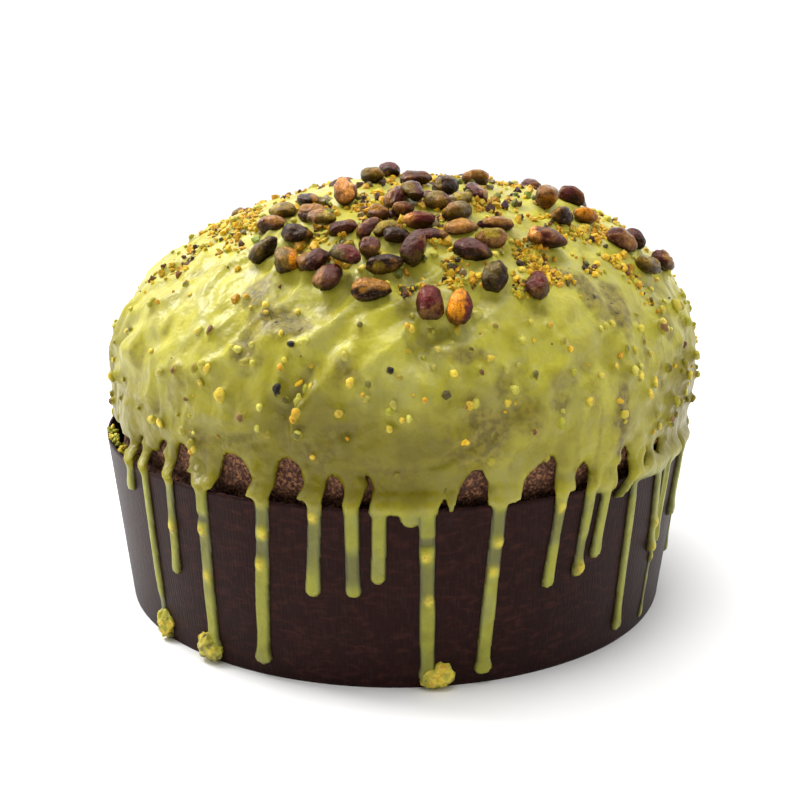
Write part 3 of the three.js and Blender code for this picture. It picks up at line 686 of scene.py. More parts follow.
def rings(rows):
    """Angle and row value of each vertex, and the triangles, for rows of (value, column count). The column
    count halves or doubles from row to row, and a row of one column is a pole."""
    starts = np.cumsum([0] + [count for _, count in rows])
    theta = np.concatenate([np.arange(count) * TURN / count for _, count in rows])
    value = np.concatenate([np.full(count, float(value)) for value, count in rows])
    triangles = []
    for n in range(len(rows) - 1):
        (_, upper), (_, lower) = rows[n], rows[n + 1]
        if upper == 1:
            i = np.arange(lower)
            ring = starts[n + 1]
            triangles.append(np.stack([0 * i + starts[n], ring + i, ring + (i + 1) % lower], 1))
        elif lower == 1:
            i = np.arange(upper)
            ring = starts[n]
            triangles.append(np.stack([ring + i, 0 * i + starts[n + 1], ring + (i + 1) % upper], 1))
        elif lower < upper:
            flipped = strip_between(starts[n + 1], lower, starts[n], upper)
            triangles.append(flipped[:, ::-1])
        else:
            triangles.append(strip_between(starts[n], upper, starts[n + 1], lower))
    return theta, value, np.concatenate(triangles)


def rows_down(bands):
    """Rows for rings from the pole down: each band is the first path, where it stops, the step and the
    column count."""
    return [(0, 1)] + [(path, columns) for *span, columns in bands for path in np.arange(*span)]


def unit_ball(shares, columns):
    """Points and triangles of a ball of radius 1: a ring at each share of the way from pole to pole."""
    theta, share, triangles = rings([(0, 1)] + [(share, columns) for share in shares] + [(1, 1)])
    polar = share * math.pi
    return round_axis(np.sin(polar), theta, np.cos(polar)), triangles


def copies(points, triangles):
    """Points and faces of one mesh that holds many copies of a shape; points has a sheet for each copy."""
    faces = triangles[None] + (np.arange(len(points)) * points.shape[1])[:, None, None]
    return points.reshape(-1, 3), faces.reshape(-1, 3)


def trimmed(theta, path, depth, triangles):
    """Keeps the part of the mesh where depth is positive. A triangle that the border crosses is cut where
    depth falls to nothing along its edges. Also returns the border's edges."""
    inside = depth > 0
    count = inside[triangles].sum(1)

    def odd_one_first(crossed, wanted):
        place = np.argmax(inside[crossed] == wanted, axis=1)
        return np.take_along_axis(crossed, (place[:, None] + np.arange(3)) % 3, 1)

    one = odd_one_first(triangles[count == 1], True)
    two = odd_one_first(triangles[count == 2], False)
    pairs = np.concatenate([one[:, [0, 1]], one[:, [0, 2]], two[:, [0, 1]], two[:, [0, 2]]])
    cut, which = np.unique(np.sort(pairs, 1), axis=0, return_inverse=True)
    which = which.ravel() + len(theta)
    start, end = cut.T
    share = depth[start] / (depth[start] - depth[end])
    theta_step = wrapped(theta[end] - theta[start])
    theta = np.concatenate([theta, theta[start] + theta_step * share])
    path = np.concatenate([path, path[start] + (path[end] - path[start]) * share])
    one_a, one_b, two_a, two_b = np.split(which, np.cumsum([len(one), len(one), len(two)]))
    triangles = np.concatenate(
        [
            triangles[count == 3],
            np.stack([one[:, 0], one_a, one_b], 1),
            np.stack([two_a, two[:, 1], two[:, 2]], 1),
            np.stack([two_a, two[:, 2], two_b], 1),
        ]
    )
    border = np.concatenate([np.stack([one_a, one_b], 1), np.stack([two_a, two_b], 1)])
    used, renamed = np.unique(triangles, return_inverse=True)
    place = np.full(len(theta), -1)
    place[used] = np.arange(len(used))
    on_border = used >= len(depth)
    return theta[used], path[used], on_border, renamed.reshape(-1, 3), place[border]


# ---------------------------------------------------------------- meshes


def new_piece(name, points, faces, slot, finish, stands_for=(), marks=None):
    """A finished piece: points in millimetres, faces as rows of corner numbers, marks as values at points."""
    mesh = bpy.data.meshes.new(name)
    mesh.vertices.add(len(points))
    mesh.vertices.foreach_set("co", (points * MM).astype(np.float32).ravel())
    corners = faces.shape[1]
    mesh.loops.add(faces.size)
    mesh.loops.foreach_set("vertex_index", faces.astype(np.int32).ravel())
    mesh.polygons.add(len(faces))
    mesh.polygons.foreach_set("loop_start", np.arange(len(faces), dtype=np.int32) * corners)
    mesh.polygons.foreach_set("use_smooth", np.ones(len(faces), bool))
    mesh.update(calc_edges=True)
    for mark, values in (marks or {}).items():
        kind = "FLOAT" if values.ndim == 1 else "FLOAT_COLOR"
        layer = mesh.attributes.new(mark, kind, "POINT")
        layer.data.foreach_set("value" if values.ndim == 1 else "color", values.astype(np.float32).ravel())
    mesh.materials.append(finish)
    piece = bpy.data.objects.new(name, mesh)
    bpy.context.scene.collection.objects.link(piece)
    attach(piece, BODY)
    if stands_for:
        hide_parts(*stands_for)
    return piece


# ---------------------------------------------------------------- materials


class Shade:
    """One shader value. Arithmetic on it adds the Math nodes that work it out."""

    def __init__(self, finish, socket):
        self.finish = finish
        self.socket = socket

    def math(self, operation, *values):
        """Result of a Math node on this value and others."""
        return self.finish.node("ShaderNodeMath", {"operation": operation}, dict(enumerate([self, *values])))

    def __add__(self, other):
        return self.math("ADD", other)

    __radd__ = __add__

    def __sub__(self, other):
        return self.math("SUBTRACT", other)

    def __rsub__(self, other):
        return self.finish.node("ShaderNodeMath", {"operation": "SUBTRACT"}, {0: other, 1: self})

    def __mul__(self, other):
        return self.math("MULTIPLY", other)

    __rmul__ = __mul__

    def within(self, low, high):
        """0 below low, 1 above high, and smooth between."""
        settings = {"interpolation_type": "SMOOTHSTEP"}
        return self.finish.node("ShaderNodeMapRange", settings, {0: self, 1: low, 2: high})


class Nodes:
    """A node tree that is being put together."""

    def __init__(self, tree):
        self.tree = tree
        self.tree.nodes.clear()

    def node(self, kind, settings=None, sockets=None, output=0):
        """Adds a node: its settings first, then the value or link of each named or numbered socket."""
        made = self.tree.nodes.new(kind)
        for name, value in (settings or {}).items():
            setattr(made, name, value)
        for name, value in (sockets or {}).items():
            if isinstance(value, Shade):
                self.tree.links.new(value.socket, made.inputs[name])
            else:
                made.inputs[name].default_value = value
        return Shade(self, made.outputs[output])


class Finish(Nodes):
    """A material that is being put together."""

    def __init__(self, name):
        self.material = bpy.data.materials.new(name)
        self.material.use_nodes = True
        super().__init__(self.material.node_tree)
        self.place = self.node("ShaderNodeTexCoord", output=3)

    def mark(self, name, colour=False):
        """A value or colour stored at the piece's points."""
        return self.node("ShaderNodeAttribute", {"attribute_name": name}, output=0 if colour else 2)

    def noise(self, size, detail=2.0, stretch=None, distortion=0.0):
        """Noise from 0 to 1 with grains of a size in millimetres, stretched along the axes if asked."""
        place = self.place
        if stretch:
            place = self.node("ShaderNodeMapping", sockets={"Vector": place, "Scale": stretch})
        sockets = {"Vector": place, "Scale": 1 / (size * MM), "Detail": detail, "Distortion": distortion}
        return self.node("ShaderNodeTexNoise", sockets=sockets)

    def cells(self, size):
        """Distance from the middle of the nearest cell, for cells of a size in millimetres."""
        return self.node("ShaderNodeTexVoronoi", sockets={"Vector": self.place, "Scale": 1 / (size * MM)})

    def mix(self, share, first, second, way="MIX"):
        """Colour that goes from the first to the second as share goes from 0 to 1."""
        first = first if isinstance(first, Shade) else (*first[:3], 1)
        second = second if isinstance(second, Shade) else (*second[:3], 1)
        settings = {"data_type": "RGBA", "blend_type": way}
        return self.node("ShaderNodeMix", settings, {0: share, 6: first, 7: second}, output=2)

    def bump(self, height, distance, under=None):
        """Normal that is tilted by a height from 0 to 1, times a distance in millimetres."""
        sockets = {"Height": height, "Distance": distance * MM, "Strength": 1.0}
        if under is not None:
            sockets["Normal"] = under
        return self.node("ShaderNodeBump", sockets=sockets)

    def surface(self, **sockets):
        """Ends the material in a Principled surface with the given sockets, named with _ for a space."""
        named = {name.replace("_", " "): value for name, value in sockets.items()}
        shader = self.node("ShaderNodeBsdfPrincipled", sockets=named)
        end = self.tree.nodes.new("ShaderNodeOutputMaterial")
        self.tree.links.new(shader.socket, end.inputs["Surface"])
        return self.material


# Colours inside the glaze. A pair is the two ends of a mixture.
CLOUD = (0.27, 0.24, 0.01)
MOTTLE = (0.33, 0.3, 0.018)
MURK = (0.64, 0.6, 0.45)
PINHOLE = (0.07, 0.055, 0.02)
CHALK = (0.36, 0.335, 0.11)
STAIN_BROWNS = ((0.1, 0.07, 0.018), (0.23, 0.175, 0.03))
SPECK = (0.012, 0.011, 0.007)
BARE_NUT = ((0.78, 0.6, 0.05), (0.62, 0.32, 0.05))
ON_PAPER = (0.76, 0.83, 0.75)


def glaze_finish(settings):
    """Set pistachio glaze: satin, chalky streaks, dark pinholes, thin places where the paper is seen, brown
    stains and painted brown shade, painted olive shade low on the dome, and bare golden nut crumbs."""
    f = Finish("glaze")
    cover = f.mark("cover")
    nut = f.mark("nut")
    brown_and_shade = f.mark("brown_and_shade")
    streaks = f.noise(9, 3, stretch=(1, 1, 0.35), distortion=0.6)
    cloud = f.noise(22, 3)
    colour = f.mix(streaks.within(0.42, 0.75) * 0.5, settings.colour, settings.pale)
    colour = f.mix(cloud.within(0.45, 0.8) * 0.4, colour, CLOUD)
    colour = f.mix(f.noise(1.4, 3).within(0.35, 0.7) * 0.25, colour, MOTTLE)
    murk = f.noise(9, 3, distortion=0.5).within(0.42, 0.68)
    colour = f.mix(murk * 0.6, colour, MURK, "MULTIPLY")
    pinholes = f.noise(0.55, 1).within(0.735, 0.76)
    colour = f.mix(pinholes * 0.6, colour, PINHOLE)
    colour = f.mix(f.noise(12, 4, distortion=1.0).within(0.45, 0.7) * 0.6, colour, CHALK)
    # Brown stains and streaks, with painted shade in the fold valleys and to the lower right of the bulges.
    brown_stain_and_shade = (brown_and_shade * 1.3 + (f.noise(3, 5, distortion=0.8) - 0.5) * 0.9).within(0.1, 1.15) * 0.8
    brown = f.mix(f.noise(2.2, 4).within(0.4, 0.62), *STAIN_BROWNS)
    specks = f.noise(2.6, 4, distortion=1.6).within(0.57, 0.68) * brown_and_shade.within(0.6, 0.95)
    # Painted shade: the glaze darkens to olive low on the dome.
    colour = f.mix(f.mark("deep"), colour, settings.deep, "MULTIPLY")
    colour = f.mix(brown_stain_and_shade, colour, brown)
    colour = f.mix(specks * 0.9, colour, SPECK)
    golden = f.mix(f.noise(1.2, 2).within(0.5, 0.66), *BARE_NUT)
    colour = f.mix(nut, colour, golden)
    colour = f.mix(f.mark("run"), colour, ON_PAPER, "MULTIPLY")
    colour = f.mix(cover, settings.thin, colour)
    fine = f.noise(1.1, 3)
    broad = f.noise(6, 2, distortion=0.3)
    normal = f.bump(fine, 0.1, f.bump(f.noise(2.6, 2), 0.22, f.bump(broad, 0.9)))
    roughness = 0.26 + f.noise(6, 2) * 0.2 + brown_stain_and_shade * 0.15
    return f.surface(
        Base_Color=colour, Roughness=roughness, Normal=normal, Subsurface_Weight=0.12,
        Subsurface_Radius=(1.0, 0.9, 0.25), Subsurface_Scale=0.002, Specular_IOR_Level=0.28,
    )


def paper_finish(settings, ribs, name):
    """Dark baking paper: satin, faint reddish mottling drawn out sideways, and fine upright ribs."""
    f = Finish(name)
    mottle = f.noise(5, 5, stretch=(1, 1, 2.6), distortion=0.8)
    fibre = f.noise(0.8, 3, stretch=(1, 1, 0.12))
    colour = f.mix(mottle.within(0.45, 0.75), settings.colour, settings.flush)
    colour = f.mix(fibre.within(0.45, 0.8) * 0.35, colour, (0.03, 0.021, 0.02))
    normal = f.bump(fibre, ribs)
    roughness = 0.33 + mottle * 0.12 + fibre * 0.1
    return f.surface(
        Base_Color=colour, Roughness=roughness, Normal=normal, Specular_IOR_Level=0.1,
        Specular_Tint=(1, 0.6, 0.55, 1),
    )


def crumb_finish(settings):
    """Cocoa crumb: matte, with lit reddish grains, and painted shade in the pores between them."""
    f = Finish("crumb")
    grain = f.noise(1.0, 4, distortion=0.5)
    pore = f.cells(1.5)
    cloud = f.noise(9, 2)
    colour = f.mix(grain.within(0.42, 0.66), settings.colour, settings.grains)
    # Painted shade in the pores, where the bump also sinks the surface.
    colour = f.mix(pore.within(0.5, 0.8) * 0.7, colour, (0.02, 0.008, 0.005))
    colour = f.mix(cloud.within(0.4, 0.7) * 0.35, colour, (0.12, 0.05, 0.028))
    normal = f.bump(grain - pore * 0.5, 0.7)
    return f.surface(Base_Color=colour, Roughness=0.62 + grain * 0.25, Normal=normal, Specular_IOR_Level=0.35)


def kernel_finish(name):
    """Pistachio skin: each kernel's own colours, fine veins along it, satin with a thin gloss."""
    f = Finish(name)
    skin = f.mark("skin", colour=True)
    veins = f.noise(0.6, 4, distortion=1.5)
    blotch = f.noise(1.8, 3, distortion=0.7)
    colour = f.mix(veins.within(0.4, 0.66) * 0.75, skin, (0.25, 0.2, 0.18), "MULTIPLY")
    colour = f.mix(blotch.within(0.45, 0.66) * 0.7, colour, (0.4, 0.28, 0.2), "MULTIPLY")
    colour = f.mix(f.noise(0.9, 2).within(0.6, 0.78) * 0.3, colour, (0.42, 0.17, 0.05))
    normal = f.bump(veins, 0.2, f.bump(blotch, 0.45))
    roughness = 0.08 + blotch * 0.14
    return f.surface(
        Base_Color=colour, Roughness=roughness, Normal=normal, Specular_IOR_Level=0.27,
        Specular_Tint=(1, 0.62, 0.4, 1), Subsurface_Weight=0.03,
        Subsurface_Radius=(1.0, 0.6, 0.3), Subsurface_Scale=0.001,
    )


def chopped_finish():
    """Chopped kernel: each grain's own colour, matte cut faces with a waxy sheen."""
    f = Finish("chopped_pistachio")
    skin = f.mark("skin", colour=True)
    mottle = f.noise(0.7, 3)
    colour = f.mix(mottle.within(0.4, 0.7) * 0.4, skin, (0.6, 0.5, 0.35), "MULTIPLY")
    normal = f.bump(f.noise(0.5, 3), 0.15)
    return f.surface(
        Base_Color=colour, Roughness=0.4 + mottle * 0.2, Normal=normal, Specular_IOR_Level=0.25,
        Subsurface_Weight=0.08,
        Subsurface_Radius=(1.0, 0.8, 0.2), Subsurface_Scale=0.001,
    )


def floor_finish(settings):
    """Plain pale floor."""
    f = Finish("floor")
    tone = f.noise(60, 2)
    colour = f.mix(tone * 0.04, settings.floor, (0.9, 0.9, 0.9))
    return f.surface(Base_Color=colour, Roughness=0.6, Specular_IOR_Level=0.2)


# ---------------------------------------------------------------- operators, one for each piece or group


class PANETTONE_OT_mould(Operator):
    """Paper band with fine ribs, a notched rim and a glued overlap, and the finish of the base tray"""

    bl_idname = "panettone.mould"
    bl_label = "Paper mould"

    def execute(self, context):
        settings = context.scene.panettone_paper
        pitch = settings.rib_pitch / MM
        columns = 2304
        ribs = round(TURN * RIM_RADIUS / pitch)
        heights = [0, 0.8, 3, 15, 30, 45, 57, 60.5, RIM_HEIGHT]
        outer, inner = len(heights), len(heights) * 2
        side = np.concatenate([np.ones(outer), np.zeros(outer)])
        z = np.concatenate([heights, heights[::-1]])
        theta = np.arange(columns) * TURN / columns
        grid_theta = np.broadcast_to(theta, (inner, columns))
        grid_z = np.broadcast_to(z[:, None], (inner, columns)).copy()
        radius = paper_radius(grid_theta, grid_z) - (1 - side[:, None]) * PAPER
        radius = radius + settings.rib_depth / MM * np.cos(ribs * grid_theta)
        cut = ripple(np.stack([theta * 110, 0 * theta, 0 * theta], -1), 1.1, 5)
        notch = settings.notch / MM * (0.5 + 0.5 * cut)
        grid_z = grid_z - np.where(grid_z > RIM_HEIGHT - 0.1, notch, 0)
        curl = 0.25 * ripple(round_axis(6, theta, 0 * theta), 1, 6)
        radius = radius + curl * eased(grid_z, RIM_HEIGHT - 10, RIM_HEIGHT)
        points = round_axis(radius, grid_theta, grid_z).reshape(-1, 3)
        row, column = np.meshgrid(np.arange(inner), np.arange(columns), indexing="ij")
        corner = (row * columns + column).ravel()
        beside = (row * columns + (column + 1) % columns).ravel()
        above = (((row + 1) % inner) * columns + column).ravel()
        across = (((row + 1) % inner) * columns + (column + 1) % columns).ravel()
        faces = np.stack([corner, beside, across, above], 1)
        finish = paper_finish(settings, 0.12, "mould_paper")
        new_piece("paper_band", points, faces, "mould_paper", finish, ["mould_band"])
        tray = frame["nodes"]["mould_base"]
        tray.data.materials.clear()
        tray.data.materials.append(paper_finish(settings, 0.05, "base_paper"))
        return {"FINISHED"}


class PANETTONE_OT_loaf(Operator):
    """Baked dough with an open crumb where the glaze leaves it bare"""

    bl_idname = "panettone.loaf"
    bl_label = "Loaf"

    def execute(self, context):
        settings = context.scene.panettone_loaf
        rows = rows_down([(6, DOME_LENGTH - 2, 5, 144)])
        rows += [(DOME_LENGTH, 288), (DOME_LENGTH + 3, 576)]
        rows += [(path, 1152) for path in np.arange(DOME_LENGTH + 5, DOME_LENGTH + 28, 0.55)]
        rows += [(DOME_LENGTH + 29, 576), (DOME_LENGTH + 32, 288)]
        rows += [(path, 144) for path in np.arange(DOME_LENGTH + 36, WHOLE_LENGTH - 4, 6)]
        bottom = WHOLE_LENGTH - LOAF_BOTTOM
        rows += [(bottom - 3, 144), (bottom, 144), (WHOLE_LENGTH, 1)]
        theta, path, triangles = rings(rows)
        z = np.maximum(height_of(path), LOAF_BOTTOM)
        polar = np.interp(path, DOME_ARC, POLARS)
        dome = dome_point(theta, polar, GLAZE + UNDER_GLAZE)
        rim = DOME_RADIUS - TUCK - GLAZE - UNDER_GLAZE
        foot = FOOT_RADIUS - LOAF_FOOT_SLACK
        low = z < RIM_HEIGHT
        skirt = skirt_point(theta, np.maximum(z, RIM_HEIGHT), GLAZE + UNDER_GLAZE)
        radius = foot + (rim - foot) * z / RIM_HEIGHT - 3 * (1 - eased(z, LOAF_BOTTOM, LOAF_BOTTOM + 3))
        radius = np.where(path >= WHOLE_LENGTH, 0, radius)
        lean = LEAN_AT_RIM * z / RIM_HEIGHT
        held = round_axis(radius, theta, z, lean)
        points = np.where(low[:, None], held, skirt)
        points = np.where((path < DOME_LENGTH)[:, None], dome, points)
        bare = eased(path, DOME_LENGTH + 5, DOME_LENGTH + 9)
        bare = bare * (1 - eased(path, DOME_LENGTH + 26, DOME_LENGTH + 28))
        grain = roughened(points, 1.9, 2, 51) - 1.3 * np.clip(ripple(points, 2.6, 55) - 0.15, 0, 1)
        swell = roughened(points, 12, 2, 57) * 0.5
        outward = round_axis(1, theta, 0 * theta)
        drawn_in = 1.6 * (1 - eased(z, RIM_HEIGHT - 1, RIM_HEIGHT + 3.5))
        points = points + outward * (bare * (settings.grain / MM * grain - 0.25 + swell - drawn_in))[:, None]
        new_piece("loaf_crumb", points, triangles, "crumb", crumb_finish(settings), ["loaf"])
        return {"FINISHED"}


class PANETTONE_OT_glaze(Operator):
    """Poured coat with its arched edge and runs as one closed surface, nuts in it, and lumps at its feet"""

    bl_idname = "panettone.glaze"
    bl_label = "Glaze"

    def execute(self, context):
        settings = context.scene.panettone_glaze
        finish = glaze_finish(settings)
        bands = [(1.2, 9, 1.3, 80), (9.5, 19, 1.3, 160), (19.5, 42, 1.25, 320)]
        bands += [(42.5, DOME_LENGTH - 0.5, 1.15, 640), (DOME_LENGTH + 1, DOME_LENGTH + 27, 0.95, 1280)]
        bands += [(DOME_LENGTH + 28, WHOLE_LENGTH - 0.4, 1.15, 1280)]
        theta, path, triangles = rings(rows_down(bands))
        depth = glaze_field(theta, path)[0]
        tiny = 0.09
        depth = np.where(np.abs(depth) < tiny, np.where(depth > 0, tiny, -tiny), depth)
        theta, path, on_border, triangles, border = trimmed(theta, path, depth, triangles)
        depth, thickness, clear, nut = glaze_field(theta, path)
        depth = np.where(on_border, 0, np.maximum(depth, tiny))
        points, full = skin_from(settings, theta, path, depth, thickness)
        inner_theta, inner_path, inner = self.inner_skin(theta, path, border)
        points = np.concatenate([points, backing(inner_theta, inner_path)])
        triangles = np.concatenate([triangles, inner])
        extra = np.zeros(len(inner_theta))
        on_paper = 1 - eased(height_of(path), RIM_HEIGHT - 3, RIM_HEIGHT + 1)
        at_edge = 0.75 * (1 - eased(depth, 0.1, 1.1)) * on_paper
        cover = 1 - np.clip(0.85 * clear * (1 - 0.8 * nut) + at_edge, 0, 1)
        marks = {
            "cover": np.concatenate([cover, 1 + extra]),
            "nut": np.concatenate([nut, extra]),
            # Brown stains and streaks, and painted shade in the fold valleys and beside the bulges.
            "brown_and_shade": np.concatenate([self.worn(theta, path, full), extra]),
            # Painted olive shade low on the dome.
            "deep": np.concatenate([self.deep(theta, path), extra]),
            "run": np.concatenate([on_paper, extra]),
        }
        new_piece("glaze_coat", points, triangles, "glaze", finish, ["glaze"], marks)
        self.coated_nuts(settings, finish)
        for n, lump in enumerate(FOOT_LUMPS):
            self.foot_lump(n, lump, finish)
        return {"FINISHED"}

    def coated_nuts(self, settings, finish):
        """Nut crumbs that stand half out of the coat: small smooth lumps, bare on top."""
        theta, path, radius = nut_spots()
        high = path < DOME_LENGTH + 12
        theta, path, radius = theta[high], path[high], radius[high]
        rng = np.random.default_rng(37)
        centres = glaze_skin(settings, theta, path)
        outward = backing_normal(theta, path)
        ball, triangles = unit_ball([0.2, 0.4, 0.6, 0.8], 10)
        count = len(theta)
        across = unit(np.cross(outward, rng.normal(size=(count, 3))))
        axes = np.stack([across, np.cross(outward, across), outward], 1)
        flatness = [rng.uniform(0.8, 1.25, count), np.full(count, 0.85), np.full(count, 0.75)]
        sizes = radius[:, None] * np.stack(flatness, 1)
        knocked = ball[None] * rng.uniform(0.85, 1.12, (count, len(ball), 1)) * sizes[:, None]
        sunk = centres - outward * 0.3 * radius[:, None]
        points = np.einsum("nij,njk->nik", knocked, axes) + sunk[:, None]
        bare = np.repeat(rng.choice([0.1, 0.5, 0.9], count, p=[0.6, 0.25, 0.15]), len(ball))
        top = eased(np.tile(ball[:, 2], count), 0.3, 0.8)
        # Painted olive shade low on the dome, as on the coat.
        deep = np.repeat(self.deep(theta, path), len(ball))
        marks = {"cover": np.ones(len(top)), "nut": bare * top, "brown_and_shade": np.zeros(len(top)), "deep": deep}
        new_piece("glaze_nuts", *copies(points, triangles), "glaze", finish, marks=marks)

    def inner_skin(self, theta, path, border):
        """Coarse inner skin: border points and a wide net of inner ones, joined by a Delaunay triangulation
        of the plane in which path is the distance from the middle."""
        edge = np.unique(border)
        net_theta, net_path, _ = rings([(p, 96) for p in np.arange(7, DOME_LENGTH + 22, 7)])
        kept = glaze_field(net_theta, net_path)[0] > 3
        all_theta = np.concatenate([theta[edge], net_theta[kept], [0]])
        all_path = np.concatenate([path[edge], net_path[kept], [0]])
        flat = np.stack([all_path * np.cos(all_theta), all_path * np.sin(all_theta)], 1)
        places = np.full(len(theta), -1)
        places[edge] = np.arange(len(edge))
        spots = [Vector(spot) for spot in flat.tolist()]
        found = delaunay_2d_cdt(spots, places[border].tolist(), [], 1, 1e-6)
        origin = np.array([first[0] if first else -1 for first in found[3]])
        faces = origin[np.array(found[2])]
        faces = faces[(faces >= 0).all(1)]
        middle = flat[faces].mean(1)
        depth = glaze_field(np.arctan2(middle[:, 1], middle[:, 0]), np.hypot(*middle.T))[0]
        faces = faces[depth > -0.05][:, ::-1]
        own = np.concatenate([edge, len(theta) + np.arange(len(all_theta) - len(edge))])
        return all_theta[len(edge):], all_path[len(edge):], own[faces]

    def worn(self, theta, path, full):
        """Where the colour goes brown: painted shade where the coat is thinner, in the valleys between the
        folds; streaks on the right; painted shadow to the lower right of each nut that bulges under it; and
        the stains."""
        points = backing(theta, path)
        z = points[..., 2]
        ragged = roughened(points, 7, 3, 61)
        # Painted shade: browner where the folds leave the coat thinner, in their valleys.
        thin = eased(-(full - GLAZE) + 0.5 * ragged, 0.5, 1.8) * 0.4
        streaks = ripple(np.stack([theta * RIM_RADIUS, path / 16, 0 * path], -1), 2.2, 62)
        right = 1 - eased(np.abs(turned_by(theta, -33)), 0.35, 0.75)
        hanging = eased(streaks + 0.3 * ragged, 0.3, 0.9) * right * eased(path, 70, 100) * 0.45
        worn = np.maximum(thin, hanging)
        # Painted shadow: a brown patch to the lower right of each bulge.
        for angle, height, radius, _ in BULGES:
            aside = aside_from(theta, angle)
            away = np.hypot((aside - 0.5 * radius) / 1.4, z - height + 0.5 * radius) / radius
            ring = eased(1.2 - away + 0.7 * ragged, 0.1, 1.3)
            worn = np.maximum(worn, ring * (np.abs(aside) < 30) * 0.6)
        for angle, height, wide, tall, strength in STAINS:
            aside = aside_from(theta, angle)
            away = np.hypot(aside / wide, (z - height) / tall) + 0.35 * ragged
            worn = np.maximum(worn, (1 - eased(away, 0.4, 1.5)) * strength * (np.abs(aside) < 40))
        return worn * eased(z, RIM_HEIGHT, RIM_HEIGHT + 5) * (path > 40)

    def deep(self, theta, path):
        """How much painted shade darkens the glaze to olive: low on the dome, unevenly."""
        points = backing(theta, path)
        z = points[..., 2] + 9 * roughened(points, 26, 3, 65)
        left = 1 - eased(np.abs(turned_by(theta, -150)), 0.35, 0.95)
        right = 1 - eased(np.abs(turned_by(theta, -58)), 0.2, 0.55)
        low = (1 - eased(z, 76, 112)) * (1 - 0.15 * left) * (1 - 0.65 * right)
        return low * (0.25 + 0.75 * eased(points[..., 2], RIM_HEIGHT - 4, RIM_HEIGHT + 6))

    def foot_lump(self, number, lump, finish):
        """Glaze and nut heaped where a run met the table: an ellipsoid made lumpy, flat where it stands."""
        angle, height, wide, depth, tall = lump
        ball, triangles = unit_ball(np.linspace(0.04, 0.96, 36), 72)
        points = ball * [depth, wide, tall]
        crumbly = 0.8 * roughened(points + number * 31, 2.4, 3, 71)
        crumbly = crumbly + 0.7 * (0.5 - np.abs(ripple(points + number * 17, 1.3, 74)))
        points = points + ball * crumbly[:, None]
        out = math.radians(angle)
        ahead = np.array([math.cos(out), math.sin(out), 0])
        spin = np.array([ahead, [-math.sin(out), math.cos(out), 0], [0, 0, 1]])
        points = points @ spin + (FOOT_RADIUS + 0.4) * ahead + [0, 0, height]
        points[:, 2] = np.maximum(points[:, 2], 0.15)
        speckle = ripple(points, 1.6, 77)
        marks = {
            "cover": np.ones(len(points)), "nut": eased(speckle, 0.0, 0.5) * 0.8,
            "brown_and_shade": eased(-speckle + 0.3 * crumbly, 0.45, 0.8) * 0.9, "deep": np.zeros(len(points)),
        }
        new_piece(f"glaze_foot_{number + 1}", points, triangles, "glaze", finish, marks=marks)


# Colours of pistachio skin and flesh.
WARMTH = (0.98, 0.58, 0.33)  # all kernels are tinted with this
PLUM = (0.066, 0.018, 0.034)
NIGHT = (0.008, 0.003, 0.003)
EMBER = (0.1, 0.045, 0.02)
CRIMSON = (0.12, 0.02, 0.04)
TAN = (0.27, 0.21, 0.09)
ORANGE = (0.3, 0.23, 0.04)
GOLD = (0.76, 0.47, 0.022)
CREAM = (0.78, 0.56, 0.23)
OLIVE = (0.17, 0.19, 0.025)
LEAF = (0.3, 0.37, 0.025)
MOSS = (0.075, 0.1, 0.03)
LOOKS = {
    "plum": (PLUM, TAN, "low"), "night": (NIGHT, EMBER, "low"), "ember": (EMBER, ORANGE, "top"),
    "tan": (TAN, PLUM, "low"), "olive": (OLIVE, TAN, "right"), "leaf": (LEAF, EMBER, "low"),
}
# Skin, second colour and the side that has it, of each CAD kernel in turn.
KERNEL_COLOURS = [
    (NIGHT, ORANGE, "right"), (OLIVE, LEAF, "left"), (EMBER, TAN, "top"), (PLUM, TAN, "top"),
    (NIGHT, ORANGE, "right"), (MOSS, NIGHT, "right"), (OLIVE, GOLD, "right"), (PLUM, ORANGE, "left"),
    (PLUM, TAN, "left"), (PLUM, CREAM, "front"), (OLIVE, ORANGE, "right"), (NIGHT, PLUM, "top"),
    (PLUM, EMBER, "top"), (PLUM, TAN, "left"), (PLUM, OLIVE, "left"), (OLIVE, EMBER, "right"),
    (EMBER, ORANGE, "top"), (EMBER, TAN, "left"), (PLUM, EMBER, "low"), (PLUM, TAN, "left"),
    (NIGHT, EMBER, "low"), (PLUM, TAN, "right"), (PLUM, TAN, "low"), (CRIMSON, MOSS, "left"),
    (NIGHT, LEAF, "low"), (PLUM, OLIVE, "low"), (NIGHT, OLIVE, "left"), (PLUM, ORANGE, "right"),
    (TAN, ORANGE, "top"), (LEAF, OLIVE, "low"), (OLIVE, ORANGE, "left"), (TAN, ORANGE, "top"),
    (PLUM, ORANGE, "top"), (TAN, LEAF, "top"), (NIGHT, PLUM, "top"), (MOSS, NIGHT, "right"),
    (TAN, GOLD, "low"), (PLUM, EMBER, "right"), (NIGHT, ORANGE, "left"), (GOLD, GOLD, "top"),
    (PLUM, CREAM, "left"), (CRIMSON, TAN, "low"), (PLUM, TAN, "right"), (NIGHT, PLUM, "top"),
    (OLIVE, LEAF, "left"), (PLUM, ORANGE, "right"), (NIGHT, ORANGE, "top"), (CRIMSON, TAN, "low"),
    (GOLD, CRIMSON, "right"), (CRIMSON, CREAM, "left"), (LEAF, TAN, "left"), (PLUM, TAN, "low"),
    (OLIVE, LEAF, "top"), (EMBER, ORANGE, "low"), (NIGHT, PLUM, "top"), (TAN, EMBER, "low"),
]
SIDES = {
    "left": (-1, 0, 0), "right": (1, 0, 0), "top": (0, 0, 1), "low": (0, -0.4, -1),
    "front": (-0.5, -0.8, 0.2),
}
LOOK_SLOTS = {
    "plum": "kernel_purple", "night": "kernel_dark", "ember": "kernel_red", "tan": "kernel_tan",
    "olive": "kernel_olive", "leaf": "kernel_green",
}


